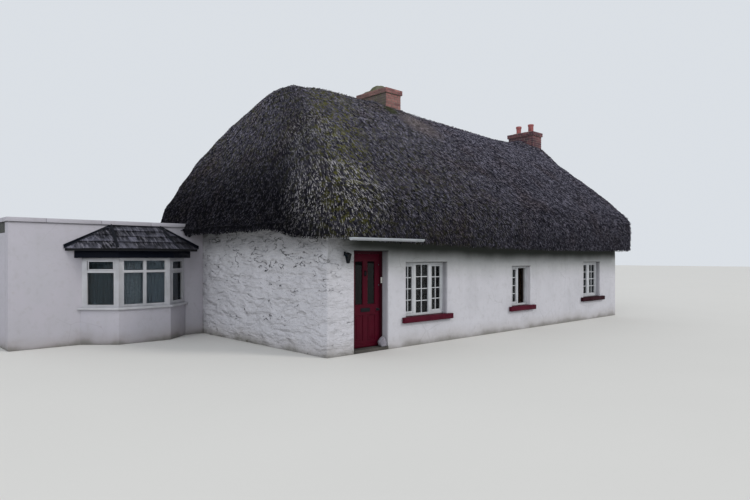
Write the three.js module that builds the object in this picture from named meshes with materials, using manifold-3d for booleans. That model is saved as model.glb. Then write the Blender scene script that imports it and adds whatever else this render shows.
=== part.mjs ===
// A long, low, whitewashed cottage under a hipped thatched roof, with a small
// flat-roofed side building that carries a bay window.
// Units are millimetres. +X runs along the front towards the party wall,
// +Y goes from the front to the back, and +Z is up.
import * as THREE from 'three';
import { mergeVertices } from 'three/addons/utils/BufferGeometryUtils.js';
import { ConvexGeometry } from 'three/addons/geometries/ConvexGeometry.js';
import Module from 'manifold-3d';

const wasm = await Module();
wasm.setup();

// sizes
const M = 1000;            // one metre
const GAP = 0.3;           // clearance between pieces that touch

// main house, measured from its front left corner at ground level
const LENGTH = 12.0 * M;
const DEPTH = 6.8 * M;
const WALL = 0.55 * M;
const FLOOR = 0.06 * M;

// thatch: one surface described by how far a point lies in from the eave
const OVERHANG = 0.48 * M;       // eave beyond the wall
const EAVE_LINE = 2.949 * M;     // height at which the slopes would meet the edge
const RIDGE_LEFT = 6.377 * M;    // nominal ridge height at the hip
const RIDGE_RIGHT = 6.006 * M;   // and at the party wall: the old ridge sags
const HIP_RUN = 1.548 * M;       // hip apex in from the end wall's face
const PLAN_RADIUS = 1.479 * M;   // rounded corners of the eave
const HIP_SOFTNESS = 0.489 * M;
const RIDGE_SOFTNESS = 0.32 * M;
const SLOPE_BULGE = 0.052;
const LIP_DROP = 0.34 * M;       // the top edge of the eave rolls over
const LIP_RUN = 0.36 * M;
const THATCH_HEIGHT = 0.65 * M;  // thickness of the thatch, measured upright
const EAVE_FRONT_LEFT = 2.235 * M;
const EAVE_FRONT_RIGHT = 2.06 * M;
const EAVE_END = 2.46 * M;       // the eave lifts over the end wall
const SOFFIT_RISE = 0.45;

// front openings: [left, right, bottom, top]
const DOOR = [0.68 * M, 1.61 * M, 0, 2.02 * M];
const WINDOW_1 = [2.14 * M, 3.49 * M, 0.50 * M, 1.78 * M];
const WINDOW_2 = [6.09 * M, 6.96 * M, 0.50 * M, 1.655 * M];
const WINDOW_3 = [9.88 * M, 10.94 * M, 0.56 * M, 1.74 * M];
const BACK_WINDOW_1 = [2.60 * M, 3.66 * M, 0.56 * M, 1.74 * M];
const BACK_WINDOW_2 = [8.30 * M, 9.36 * M, 0.56 * M, 1.74 * M];
const SILL_HEIGHT = 0.12 * M;
const SILL_REACH = 0.08 * M;     // in front of the wall
const FRAME_SETBACK = 0.13 * M;
const FRAME_DEPTH = 0.07 * M;
const FRAME_FACE = 0.05 * M;
const POST_DEPTH = 0.045 * M;
const GLASS = 6;
const OPEN_ANGLE = 141;          // the open casement of window 2, degrees
const SPLAY = Math.tan(THREE.MathUtils.degToRad(OPEN_ANGLE - 90));

// chimneys: [left, right, front, back, bottom, top]
const STACK_LEFT = [4.32 * M, 4.88 * M, 2.87 * M, 4.02 * M, FLOOR + GAP, 6.55 * M];
const STACK_RIGHT = [LENGTH - WALL, LENGTH, 2.73 * M, 3.73 * M, 4.90 * M, 6.37 * M];
const BAND = 0.135 * M;
const BAND_REACH = 0.035 * M;
const POT_HEIGHT = 0.32 * M;

// side building with the bay
const SIDE_LEFT = -4.2 * M;
const SIDE_FRONT = 4.985 * M;
const SIDE_BACK = 9.0 * M;
const SIDE_WALL = 0.30 * M;
const SIDE_WALL_TOP = 2.40 * M;
const SIDE_ROOF_TOP = 2.62 * M;
const COPING_TOP = 2.71 * M;
const COPING_REACH = 0.04 * M;
const BAY_CENTRE = -1.655 * M;
const BAY_HALF_WALL = 1.195 * M;
const BAY_HALF_FRONT = 0.58 * M;
const BAY_REACH = 0.55 * M;
const BAY_SILL = 0.75 * M;
const BAY_GLASS_LOW = 0.80 * M;
const BAY_HEAD = 1.88 * M;
const BAY_FASCIA_TOP = 2.035 * M;
const BAY_EAVE_TOP = 2.085 * M;
const BAY_ROOF_TOP = 2.60 * M;

// materials
const finish = (color, roughness, metalness = 0) =>
  new THREE.MeshStandardMaterial({ color, roughness, metalness });
const WHITEWASH = () => finish(0xc9cac8, 0.9);
const THATCH = () => finish(0x4b4341, 1.0);
const BRICK = () => finish(0x8d4f42, 0.9);
const CLAY = () => finish(0x9a4438, 0.8);
const MORTAR = () => finish(0x75706a, 0.95);
const RED_PAINT = () => finish(0x6e1426, 0.35);
const WHITE_PAINT = () => finish(0xe6e7e8, 0.4);
const PANE = () => finish(0x2b3238, 0.08);
const BLACK_IRON = () => finish(0x1b1f26, 0.5, 0.6);
const STEEL = () => finish(0xb9bcc0, 0.3, 0.9);
const SLATE = () => finish(0x4c4e55, 0.7);
const NAVY_PAINT = () => finish(0x171a22, 0.4);
const CONCRETE = () => finish(0x9a978f, 0.9);
const CLOTH = () => finish(0x4a3a2c, 0.95);
const NET = () => finish(0xcfd3d0, 0.95);

// helpers
const cottage = new THREE.Group();
cottage.name = 'cottage';
const origin = new THREE.Vector3(-LENGTH / 2, -DEPTH / 2, 0);

function clean(geometry) {
  const g = geometry.clone();
  g.deleteAttribute('normal');
  g.deleteAttribute('uv');
  return mergeVertices(g, 1e-3);
}

function solid(geometry) {
  const g = clean(geometry);
  return new wasm.Manifold(new wasm.Mesh({
    numProp: 3,
    vertProperties: new Float32Array(g.attributes.position.array),
    triVerts: new Uint32Array(g.index.array),
  }));
}

function shape(manifold) {
  const mesh = manifold.getMesh();
  const g = new THREE.BufferGeometry();
  g.setAttribute('position', new THREE.BufferAttribute(new Float32Array(mesh.vertProperties), 3));
  g.setIndex(new THREE.BufferAttribute(new Uint32Array(mesh.triVerts), 1));
  return g;
}

// every piece is drawn in the house's own corner frame and then moved so that
// the part's origin is the middle of the house, on the ground
function piece(name, form, material) {
  const raw = form.isBufferGeometry ? clean(form) : shape(form);
  raw.translate(origin.x, origin.y, origin.z);
  const flat = raw.toNonIndexed();
  flat.computeVertexNormals();
  const mesh = new THREE.Mesh(flat, material);
  mesh.name = name;
  cottage.add(mesh);
}

function block(x0, x1, y0, y1, z0, z1) {
  const g = new THREE.BoxGeometry(x1 - x0, y1 - y0, z1 - z0);
  g.translate((x0 + x1) / 2, (y0 + y1) / 2, (z0 + z1) / 2);
  return g;
}

const bulk = (...edges) => solid(block(...edges));

function upright(points, z0, z1) {
  const outline = new THREE.Shape(points.map(([x, y]) => new THREE.Vector2(x, y)));
  const g = new THREE.ExtrudeGeometry(outline, { depth: z1 - z0, bevelEnabled: false });
  g.translate(0, 0, z0);
  return g;
}

const clamp = (v, low, high) => Math.min(high, Math.max(low, v));
const smooth = (v) => { const t = clamp(v, 0, 1); return t * t * (3 - 2 * t); };
function softMax(a, b, k) {
  const h = clamp(0.5 - (0.5 * (b - a)) / k, 0, 1);
  return b * (1 - h) + a * h + k * h * (1 - h);
}

// the form of the roof
const HALF = DEPTH / 2 + OVERHANG;
const STRETCH = HALF / (HIP_RUN + OVERHANG);

// distance in from the rounded eave, with the steep hip stretched to match
function inset(x, y) {
  const across = Math.hypot(y - DEPTH / 2, RIDGE_SOFTNESS) - RIDGE_SOFTNESS / 2;
  const qx = PLAN_RADIUS - (x + OVERHANG) * STRETCH;
  const qy = across - (HALF - PLAN_RADIUS);
  if (qx > 0 && qy > 0) return PLAN_RADIUS - Math.hypot(qx, qy);
  const k = 0.1 + HIP_SOFTNESS * clamp(-Math.min(qx, qy) / PLAN_RADIUS, 0, 1);
  return PLAN_RADIUS - softMax(qx, qy, k);
}

function roofHeight(x, y, rolled) {
  const ridge = RIDGE_LEFT
    + (RIDGE_RIGHT - RIDGE_LEFT) * clamp((x - 2 * M) / (LENGTH - 2 * M), 0, 1);
  const d = Math.max(inset(x, y), 0);
  const t = d / HALF;
  const lip = rolled ? LIP_DROP * (1 - Math.min(d / LIP_RUN, 1)) ** 2 : 0;
  return EAVE_LINE + (ridge - EAVE_LINE) * (t + SLOPE_BULGE * 4 * t * (1 - t)) - lip;
}

// underside of the overhang: low along the front, lifted over the end wall
function soffitHeight(x, y) {
  const along = clamp(x / (LENGTH * 0.55), 0, 1);
  const edge = EAVE_FRONT_LEFT + (EAVE_FRONT_RIGHT - EAVE_FRONT_LEFT) * along ** 0.6;
  const middle = smooth(y / (1.3 * M)) * smooth((DEPTH - y) / (1.3 * M));
  const end = (EAVE_END - edge) * middle * smooth((0.9 * M - x) / (0.6 * M));
  const rise = SOFFIT_RISE * clamp(inset(x, y), 0, OVERHANG);
  return edge + end + rise;
}

// half the eave's width across the house at a place along it
function halfSpan(x) {
  const along = (x + OVERHANG) * STRETCH;
  if (along >= PLAN_RADIUS) return HALF;
  return HALF - PLAN_RADIUS + Math.sqrt(PLAN_RADIUS ** 2 - (PLAN_RADIUS - along) ** 2);
}

// skin a row of closed rings that all have the same number of points
function skin(rings, half) {
  const points = rings.flat(2);
  const n = rings[0].length;
  const index = [];
  for (let i = 0; i + 1 < rings.length; i += 1) {
    for (let j = 0; j < n; j += 1) {
      const a = i * n + j;
      const b = i * n + ((j + 1) % n);
      index.push(a, a + n, b, b, a + n, b + n);
    }
  }
  const cap = (base, turn) => {
    for (let j = 0; j + 1 < half; j += 1) {
      const a = base + j;
      const b = base + j + 1;
      const c = base + n - 2 - j;
      const d = base + n - 1 - j;
      if (turn) index.push(a, c, b, a, d, c);
      else index.push(a, b, c, a, c, d);
    }
  };
  cap(0, false);
  cap((rings.length - 1) * n, true);
  const g = new THREE.BufferGeometry();
  g.setAttribute('position', new THREE.BufferAttribute(new Float32Array(points), 3));
  g.setIndex(index);
  return g;
}

const SPREAD = [0, 0.06, 0.12, 0.19, 0.26, 0.34, 0.42, 0.5, 0.58, 0.66, 0.73, 0.8, 0.86, 0.91,
  0.95, 0.98, 1];
const ACROSS = [...SPREAD.slice(1).reverse().map((v) => -v), ...SPREAD];

function outerThatch() {
  const start = -OVERHANG;
  const steps = [0, 0.03, 0.07, 0.12, 0.18, 0.25, 0.33, 0.42, 0.51, 0.61, 0.71, 0.81, 0.91,
    1.01, 1.11, 1.21, 1.31, 1.41, 1.51, 1.61, 1.71, 1.81, 1.91, 2.02, 2.15, 2.3, 2.55, 2.9,
    3.6, 4.6, 5.8, 7.0, 8.2, 9.4, 10.6, 11.6];
  const stations = steps.map((s) => start + s * M).filter((x) => x < LENGTH - 0.2 * M);
  stations.push(LENGTH);
  const chamfer = 0.09 * M;
  const rings = stations.map((x, i) => {
    const span = halfSpan(Math.max(x, start + 1));
    const first = i === 0 ? chamfer : 0;
    const top = ACROSS.map((u) => {
      const y = DEPTH / 2 + span * u;
      return [x, y, roofHeight(x, y, true)];
    });
    const bottom = ACROSS.map((u) => {
      const y = DEPTH / 2 + (span - chamfer) * u;
      return [x, y, soffitHeight(x, y) + first];
    });
    const yLow = DEPTH / 2 - span;
    const yHigh = DEPTH / 2 + span;
    const front = [x, yLow, soffitHeight(x, yLow) + chamfer + first * 0.2];
    const back = [x, yHigh, soffitHeight(x, yHigh) + chamfer + first * 0.2];
    return [...top, back, ...bottom.reverse(), front];
  });
  return skin(rings, ACROSS.length + 1);
}

// the space under the thatch, which the walls fill up to its underside
function underThatch(grow) {
  const steps = [0, 0.2, 0.42, 0.66, 0.9, 1.15, 1.4, 1.7, 2.05, 2.5, 3.2, 4.4, 6, 8, 10, 12.2];
  const rings = steps.map((s, i) => {
    const x = s * M - (i === 0 ? grow : 0);
    const top = ACROSS.map((u) => {
      const y = DEPTH / 2 + (DEPTH / 2 + grow) * u;
      return [x, y, roofHeight(Math.max(x, 0), clamp(y, 0, DEPTH), false) - THATCH_HEIGHT + grow];
    });
    const bottom = top.map(([, y]) => [x, y, -0.2 * M]);
    return [...top, ...bottom.reverse()];
  });
  return solid(skin(rings, ACROSS.length));
}

const roofSpace = underThatch(0);
const roomForRoof = underThatch(GAP);

// main walls
const G = GAP;
const hole = ([x0, x1, z0, z1], y0, y1) => bulk(x0, x1, y0, y1, z0, z1);
const tall = 7 * M;

piece('house_floor',
  bulk(WALL + G, LENGTH - WALL - G, WALL + G, DEPTH - WALL - G, 0, FLOOR)
    .add(bulk(DOOR[0] + G, DOOR[1] - G, 0, WALL + 10, 0, FLOOR)), CONCRETE());

piece('front_wall_left',
  bulk(0, DOOR[0], 0, WALL, 0, tall).intersect(roofSpace), WHITEWASH());
piece('front_wall_over_door',
  bulk(DOOR[0] + G, DOOR[1] - G, 0, WALL, DOOR[3], tall).intersect(roofSpace), WHITEWASH());
let frontWall = bulk(DOOR[1], LENGTH, 0, WALL, 0, tall).intersect(roofSpace);
for (const w of [WINDOW_1, WINDOW_2, WINDOW_3]) frontWall = frontWall.subtract(hole(w, -M, 2 * M));
{
  // inside, window 2's jambs splay wide, and its open casement folds back there
  const [x0, x1, z0, z1] = WINDOW_2;
  const start = FRAME_SETBACK + FRAME_DEPTH + 5;
  const reach = (WALL - start) * SPLAY;
  const grown = reach * (WALL + 50 - start) / (WALL - start);
  frontWall = frontWall.subtract(solid(upright([
    [x0, start], [x1, start], [x1 + grown, WALL + 50], [x0 - grown, WALL + 50]],
  z0 + SILL_HEIGHT, z1)));
}
piece('front_wall_right', frontWall, WHITEWASH());

piece('end_wall',
  bulk(0, WALL, WALL + G, DEPTH - WALL - G, 0, tall).intersect(roofSpace), WHITEWASH());

let backWall = bulk(0, LENGTH, DEPTH - WALL, DEPTH, 0, tall).intersect(roofSpace);
for (const w of [BACK_WINDOW_1, BACK_WINDOW_2]) {
  backWall = backWall.subtract(hole(w, DEPTH - M, DEPTH + M));
}
piece('back_wall', backWall, WHITEWASH());

piece('party_wall',
  bulk(LENGTH - WALL, LENGTH, WALL + G, DEPTH - WALL - G, 0, tall).intersect(roofSpace)
    .subtract(bulk(LENGTH - WALL - M, LENGTH + M, STACK_RIGHT[2] - G, STACK_RIGHT[3] + G,
      STACK_RIGHT[4] - G, tall)),
  WHITEWASH());

// thatch
let thatch = solid(outerThatch()).subtract(roomForRoof);
for (const s of [STACK_LEFT, STACK_RIGHT]) {
  const right = s === STACK_RIGHT ? s[1] + M : s[1] + G;
  thatch = thatch.subtract(bulk(s[0] - G, right, s[2] - G, s[3] + G, 0, tall));
}
thatch = thatch.subtract(
  bulk(SIDE_LEFT - M, 0, SIDE_FRONT - G, SIDE_BACK + M, 0, SIDE_ROOF_TOP + G));

const apex = [HIP_RUN, DEPTH / 2];
const reachOut = 1.4;
const cornerX = HIP_RUN - (HIP_RUN + OVERHANG) * reachOut;
const cornerY = (DEPTH / 2 + OVERHANG) * reachOut;
const hipWedge = (shift) => solid(upright([
  [apex[0] + shift, apex[1]],
  [cornerX + shift, apex[1] + cornerY],
  [cornerX - 2 * M, apex[1] + cornerY],
  [cornerX - 2 * M, apex[1] - cornerY],
  [cornerX + shift, apex[1] - cornerY],
], -M, 8 * M));
piece('thatch_hip_end', thatch.intersect(hipWedge(0)), THATCH());
const slopes = thatch.subtract(hipWedge(2 * G));
piece('thatch_front_slope',
  slopes.intersect(bulk(-2 * M, LENGTH + M, -2 * M, DEPTH / 2 - G / 2, -M, 8 * M)), THATCH());
piece('thatch_back_slope',
  slopes.intersect(bulk(-2 * M, LENGTH + M, DEPTH / 2 + G / 2, DEPTH + 2 * M, -M, 8 * M)), THATCH());

// chimneys
function stack([x0, x1, y0, y1, z0, z1]) {
  const band = bulk(x0 - BAND_REACH, x1 + BAND_REACH, y0 - BAND_REACH, y1 + BAND_REACH, z1 - BAND, z1);
  return bulk(x0, x1, y0, y1, z0, z1).add(band);
}
piece('chimney_left', stack(STACK_LEFT), BRICK());
piece('chimney_right', stack(STACK_RIGHT), BRICK());

// the left stack's pots are gone: weathered mortar is heaped over its top
{
  const [x0, x1, y0, , , top] = STACK_LEFT;
  const heap = new THREE.CylinderGeometry(0.17 * M, 0.27 * M, 0.20 * M, 10);
  heap.rotateX(Math.PI / 2);
  heap.scale(0.95, 1.05, 1);
  heap.translate((x0 + x1) / 2, y0 + 0.34 * M, top + G + 0.10 * M);
  const bed = upright([
    [x0 + 0.01 * M, y0 + 0.01 * M], [x1 - 0.01 * M, y0 + 0.01 * M],
    [x1 - 0.01 * M, y0 + 1.14 * M], [x0 + 0.01 * M, y0 + 1.14 * M]], top + G, top + 0.05 * M);
  piece('chimney_left_crown', solid(bed).add(solid(heap)), MORTAR());
}

function pot(name, y, foot, mouth) {
  const wall = 0.022 * M;
  const lip = 0.018 * M;
  const profile = [
    [foot - wall, 0], [foot, 0], [mouth, POT_HEIGHT * 0.84], [mouth + lip, POT_HEIGHT * 0.87],
    [mouth + lip, POT_HEIGHT], [mouth - wall, POT_HEIGHT], [foot - wall, 0],
  ].map(([r, z]) => new THREE.Vector2(r, z));
  const g = new THREE.LatheGeometry(profile, 20);
  g.rotateX(Math.PI / 2);
  g.translate((STACK_RIGHT[0] + STACK_RIGHT[1]) / 2, y, STACK_RIGHT[5] + G);
  piece(name, g, CLAY());
}
pot('chimney_pot_front', 2.98 * M, 0.092 * M, 0.092 * M);
pot('chimney_pot_back', 3.485 * M, 0.078 * M, 0.094 * M);

// door
const DOOR_FRONT = 0.19 * M;
const JAMB = 0.055 * M;
const HINGE = { x: DOOR[0] + JAMB + 2.5, y: DOOR_FRONT + 0.055 * M + 7.5, r: 6, height: 100 };
const HINGE_AT = [0.34 * M, 1.70 * M];
function knuckle(z0, z1) {
  const g = new THREE.CylinderGeometry(HINGE.r, HINGE.r, z1 - z0, 16);
  g.rotateX(Math.PI / 2);
  g.translate(HINGE.x, HINGE.y, (z0 + z1) / 2);
  return solid(g);
}
// butt hinges: the frame carries the middle knuckle, the door the outer two
let doorFrame = bulk(DOOR[0] + G, DOOR[1] - G, DOOR_FRONT, DOOR_FRONT + 0.055 * M,
  FLOOR + G, DOOR[3] - G)
  .subtract(bulk(DOOR[0] + JAMB, DOOR[1] - JAMB, 0, M, -M, DOOR[3] - JAMB));
for (const z of HINGE_AT) {
  const back = DOOR_FRONT + 0.055 * M;
  doorFrame = doorFrame
    .add(bulk(HINGE.x - 36, HINGE.x - 7, back - 1, back + 3, z, z + HINGE.height))
    .add(bulk(HINGE.x - 8, HINGE.x, back + 1.8, back + 4.5, z + 34, z + 66))
    .add(knuckle(z + 34, z + 66));
}
piece('door_frame', doorFrame, RED_PAINT());

const LEAF = {
  left: DOOR[0] + JAMB + 5, right: DOOR[1] - JAMB - 8,
  front: DOOR_FRONT + 0.01 * M, back: DOOR_FRONT + 0.055 * M,
  low: FLOOR + 6, high: DOOR[3] - JAMB - 5,
};
const leafMiddle = (LEAF.left + LEAF.right) / 2;
const lights = [
  [leafMiddle - 0.275 * M, leafMiddle - 0.06 * M], [leafMiddle + 0.06 * M, leafMiddle + 0.275 * M]];
const LIGHT_LOW = 0.93 * M;
const LIGHT_HIGH = 1.82 * M;
const PANEL_LOW = 0.20 * M;
const PANEL_HIGH = 0.72 * M;
let leaf = bulk(LEAF.left, LEAF.right, LEAF.front, LEAF.back, LEAF.low, LEAF.high);
for (const [a, b] of lights) {
  leaf = leaf.subtract(bulk(a, b, 0, M, LIGHT_LOW, LIGHT_HIGH));
  leaf = leaf.subtract(bulk(a, b, 0, LEAF.front + 14, PANEL_LOW, PANEL_HIGH));
  leaf = leaf.subtract(bulk(a, b, LEAF.back - 14, M, PANEL_LOW, PANEL_HIGH));
}
for (const z of HINGE_AT) {
  leaf = leaf.add(bulk(HINGE.x + 7, HINGE.x + 36, LEAF.back - 1, LEAF.back + 3, z, z + HINGE.height));
  for (const [a, b] of [[0, 34 - G], [66 + G, HINGE.height]]) {
    leaf = leaf.add(bulk(HINGE.x, HINGE.x + 8, LEAF.back + 1.8, LEAF.back + 4.5, z + a, z + b))
      .add(knuckle(z + a, z + b));
  }
}
piece('front_door', leaf, RED_PAINT());
lights.forEach(([a, b], i) => {
  const y = (LEAF.front + LEAF.back) / 2;
  piece(`door_glass_${i === 0 ? 'left' : 'right'}`,
    block(a + G, b - G, y - GLASS / 2, y + GLASS / 2, LIGHT_LOW + G, LIGHT_HIGH - G), PANE());
});
piece('letter_plate',
  block(leafMiddle - 0.125 * M, leafMiddle + 0.125 * M, LEAF.front - G - 8, LEAF.front - G,
    0.785 * M, 0.865 * M), STEEL());
{
  const knob = new THREE.LatheGeometry([
    [0, 0], [26, 0], [26, 6], [10, 10], [10, 30], [22, 36], [27, 46], [22, 57], [10, 61], [0, 62],
  ].map(([r, z]) => new THREE.Vector2(r, z)), 20);
  knob.rotateX(Math.PI);
  knob.translate(LEAF.right - 0.075 * M, LEAF.front - G, 0.82 * M);
  piece('door_knob', knob, STEEL());
}
{
  const x = leafMiddle;
  const plate = bulk(x - 20, x + 20, LEAF.front - G - 12, LEAF.front - G, 1.51 * M, 1.62 * M);
  const ring = new THREE.TorusGeometry(30, 6, 8, 24);
  ring.rotateX(Math.PI / 2);
  ring.translate(x, LEAF.front - G - 14, 1.565 * M);
  piece('door_knocker', plate.add(solid(ring)), BLACK_IRON());
}
piece('bell_box',
  block(DOOR[1] - JAMB + 8, DOOR[1] - 8, DOOR_FRONT - G - 22, DOOR_FRONT - G, 1.36 * M, 1.48 * M),
  WHITE_PAINT());
{
  const lump = new THREE.SphereGeometry(1, 16, 10);
  lump.scale(0.085 * M, 0.10 * M, 0.15 * M);
  lump.translate(DOOR[1] - 0.085 * M, 0.085 * M, FLOOR + 0.06 * M);
  piece('jamb_stone',
    solid(lump).intersect(bulk(0, DOOR[1] - G, 0, DOOR_FRONT - G, FLOOR + G, M)), WHITEWASH());
}

// wall lantern
{
  const x = 0.43 * M;
  const y = -0.105 * M;
  const top = 1.955 * M;
  const tall4 = (a, b, h, z, wide = 1, deep = 1) => {
    const g = new THREE.CylinderGeometry(a * Math.SQRT2, b * Math.SQRT2, h, 4);
    g.rotateX(Math.PI / 2);
    g.rotateZ(Math.PI / 4);
    g.scale(wide, deep, 1);
    g.translate(x, y, z + h / 2);
    return solid(g);
  };
  const cage = tall4(49, 24, 165, top - 165).subtract(tall4(43, 18, 151, top - 158))
    .subtract(tall4(39, 15, 137, top - 151, 6, 1))
    .subtract(tall4(39, 15, 137, top - 151, 1, 6));
  const roof = tall4(14, 56, 30, top);
  const arm = bulk(x - 5, x + 5, y - 5, -G, top + 24, top + 34);
  const plate = bulk(x - 22, x + 22, -G - 8, -G, top - 30, top + 50);
  const hanger = bulk(x - 6, x + 6, y - 6, y + 6, top + 20, top + 34);
  const foot = tall4(28, 11, 14, top - 179);
  piece('wall_lantern', cage.add(roof).add(arm).add(plate).add(hanger).add(foot), BLACK_IRON());
  piece('lantern_glass', tall4(41.2, 17.3, 147, top - 158 + G), PANE());
}

// gutter at the eave
{
  const x0 = 0.12 * M;
  const x1 = 2.06 * M;
  const y = -OVERHANG - 0.068 * M;
  const z = 2.262 * M;
  const outer = new THREE.CylinderGeometry(56, 56, x1 - x0, 24);
  outer.rotateZ(Math.PI / 2);
  outer.translate((x0 + x1) / 2, y, z);
  const inner = new THREE.CylinderGeometry(52, 52, x1 - x0 - 10, 24);
  inner.rotateZ(Math.PI / 2);
  inner.translate((x0 + x1) / 2, y, z);
  const trough = solid(outer).subtract(solid(inner))
    .subtract(bulk(x0 - 10, x1 + 10, y - 100, y + 100, z, z + 100));
  piece('gutter', trough, WHITE_PAINT());
  const rail = bulk(x0 + 0.1 * M, x1 - 0.05 * M, -G - 12, -G, z - 0.10 * M, z - 0.055 * M);
  let arms = rail;
  for (const at of [x0 + 0.2 * M, (x0 + x1) / 2, x1 - 0.12 * M]) {
    arms = arms.add(bulk(at - 10, at + 10, y - 62, -G - 5, z - 56 - G - 20, z - 56 - G));
    arms = arms.add(bulk(at - 10, at + 10, y - 62, y - 56 - G, z - 56 - G - 20, z));
  }
  piece('gutter_brackets', arms, BLACK_IRON());
}

// windows
// a frame set back in the wall, with posts between its lights and one sheet
// of glass behind them; out is -1 for the front and +1 for the back
function windowSet(name, [x0, x1, z0, z1], out, posts, glazed, sillEnds) {
  const face = out < 0 ? 0 : DEPTH;
  const at = (depth) => face - out * depth;            // depth into the wall
  const span = (a, b) => [Math.min(at(a), at(b)), Math.max(at(a), at(b))];
  const low = z0 + SILL_HEIGHT;
  const [fa, fb] = span(FRAME_SETBACK, FRAME_SETBACK + FRAME_DEPTH);
  let frame = bulk(x0 + G, x1 - G, fa, fb, low + G, z1 - G)
    .subtract(bulk(x0 + FRAME_FACE, x1 - FRAME_FACE, fa - 50, fb + 50,
      low + FRAME_FACE, z1 - FRAME_FACE));
  const [pa, pb] = span(FRAME_SETBACK, FRAME_SETBACK + POST_DEPTH);
  for (const [a, b] of posts) {
    frame = frame.add(bulk(a, b, pa, pb, low + FRAME_FACE - 5, z1 - FRAME_FACE + 5));
  }
  const [ga, gb] = span(FRAME_SETBACK + POST_DEPTH + G, FRAME_SETBACK + POST_DEPTH + G + GLASS);
  piece(`${name}_glass`,
    block(glazed[0] + G, glazed[1] - G, ga, gb, low + FRAME_FACE + G, z1 - FRAME_FACE - G), PANE());
  const [oa, ob] = span(-SILL_REACH, -G);
  const [ia, ib] = span(-SILL_REACH, WALL);
  const sill = bulk(x0 - sillEnds, x1 + sillEnds, oa, ob, z0 + G, low)
    .add(bulk(x0 + G, x1 - G, ia, ib, z0 + G, low));
  if (out < 0) {
    piece(`${name}_frame`, frame, WHITE_PAINT());
    piece(`${name}_sill`, sill, RED_PAINT());
  } else {
    // at the back the frame and its sill are one piece of joinery
    piece(`${name}_frame`, frame.add(sill).add(bulk(x0 + G, x1 - G, fa, fb, low - 5, low + 5)),
      WHITE_PAINT());
  }
}

const full = ([x0, x1]) => [x0 + FRAME_FACE, x1 - FRAME_FACE];
windowSet('window_1', WINDOW_1, -1,
  [[2.50 * M, 2.58 * M], [2.99 * M, 3.07 * M]], full(WINDOW_1), 0.13 * M);
windowSet('window_3', WINDOW_3, -1, [[10.37 * M, 10.45 * M]], full(WINDOW_3), 0.18 * M);
windowSet('back_window_1', BACK_WINDOW_1, 1, [[3.09 * M, 3.17 * M]], full(BACK_WINDOW_1), 0.15 * M);
windowSet('back_window_2', BACK_WINDOW_2, 1, [[8.79 * M, 8.87 * M]], full(BACK_WINDOW_2), 0.15 * M);

// window 2 keeps glass in its left light only: its right casement stands open
{
  const post = [6.50 * M, 6.55 * M];
  windowSet('window_2', WINDOW_2, -1, [post], [WINDOW_2[0] + FRAME_FACE, post[0]], 0.15 * M);
  const low = WINDOW_2[2] + SILL_HEIGHT + FRAME_FACE + 5;
  const high = WINDOW_2[3] - FRAME_FACE - 5;
  const width = WINDOW_2[1] - FRAME_FACE - post[1] - 10;
  const pivot = new THREE.Vector3(
    WINDOW_2[1] - FRAME_FACE - 0.5, FRAME_SETBACK + FRAME_DEPTH + 0.5, 0);
  const swing = new THREE.Matrix4().makeTranslation(pivot)
    .multiply(new THREE.Matrix4().makeRotationZ(THREE.MathUtils.degToRad(-OPEN_ANGLE)));
  const rail = 38;
  const thick = 35;
  const ring = bulk(-width, 0, -thick, 0, low, high)
    .subtract(bulk(-width + rail, -rail, -60, 60, low + rail, high - rail));
  piece('window_2_casement', shape(ring).applyMatrix4(swing), WHITE_PAINT());
  piece('window_2_casement_glass',
    block(-width + rail + G, -rail - G, -20, -20 + GLASS, low + rail + G, high - rail - G)
      .applyMatrix4(swing), PANE());
  // a curtain drawn back to the right, against the inside face of the wall
  piece('window_2_curtain',
    block(7.285 * M, 7.505 * M, WALL + G, WALL + 0.04 * M, 0.50 * M, 1.80 * M), CLOTH());
}

// side building
piece('side_floor',
  block(SIDE_LEFT + SIDE_WALL + G, -SIDE_WALL - G, SIDE_FRONT + SIDE_WALL + G,
    SIDE_BACK - SIDE_WALL - G, 0, FLOOR), CONCRETE());

const bayOpening = [BAY_CENTRE - 1.045 * M, BAY_CENTRE + 1.045 * M];
piece('side_front_wall',
  bulk(SIDE_LEFT, -G, SIDE_FRONT, SIDE_FRONT + SIDE_WALL, 0, SIDE_ROOF_TOP)
    .subtract(bulk(bayOpening[0], bayOpening[1], 0, 8 * M, BAY_GLASS_LOW, BAY_HEAD)), WHITEWASH());
piece('side_left_wall',
  block(SIDE_LEFT, SIDE_LEFT + SIDE_WALL, SIDE_FRONT + SIDE_WALL + G, SIDE_BACK, 0, SIDE_WALL_TOP),
  WHITEWASH());
piece('side_back_wall',
  bulk(SIDE_LEFT + SIDE_WALL + G, 0, SIDE_BACK - SIDE_WALL, SIDE_BACK, 0, SIDE_WALL_TOP)
    .add(bulk(-SIDE_WALL, 0, DEPTH + G, SIDE_BACK, 0, SIDE_WALL_TOP)), WHITEWASH());
piece('side_roof',
  block(SIDE_LEFT, -G, SIDE_FRONT + SIDE_WALL + G, SIDE_BACK, SIDE_WALL_TOP + G, SIDE_ROOF_TOP),
  CONCRETE());
{
  const z0 = SIDE_ROOF_TOP + G;
  const r = COPING_REACH;
  const w = SIDE_WALL + 2 * r;
  const front = bulk(SIDE_LEFT - r, -OVERHANG - G, SIDE_FRONT - r, SIDE_FRONT - r + w, z0, COPING_TOP);
  const left = bulk(SIDE_LEFT - r, SIDE_LEFT - r + w, SIDE_FRONT - r, SIDE_BACK + r, z0, COPING_TOP);
  const back = bulk(SIDE_LEFT - r, r, SIDE_BACK + r - w, SIDE_BACK + r, z0, COPING_TOP);
  const right = bulk(r - w, r, DEPTH + OVERHANG + 0.03 * M, SIDE_BACK + r, z0, COPING_TOP);
  piece('side_coping', front.add(left).add(back).add(right), WHITEWASH());
}

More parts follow.
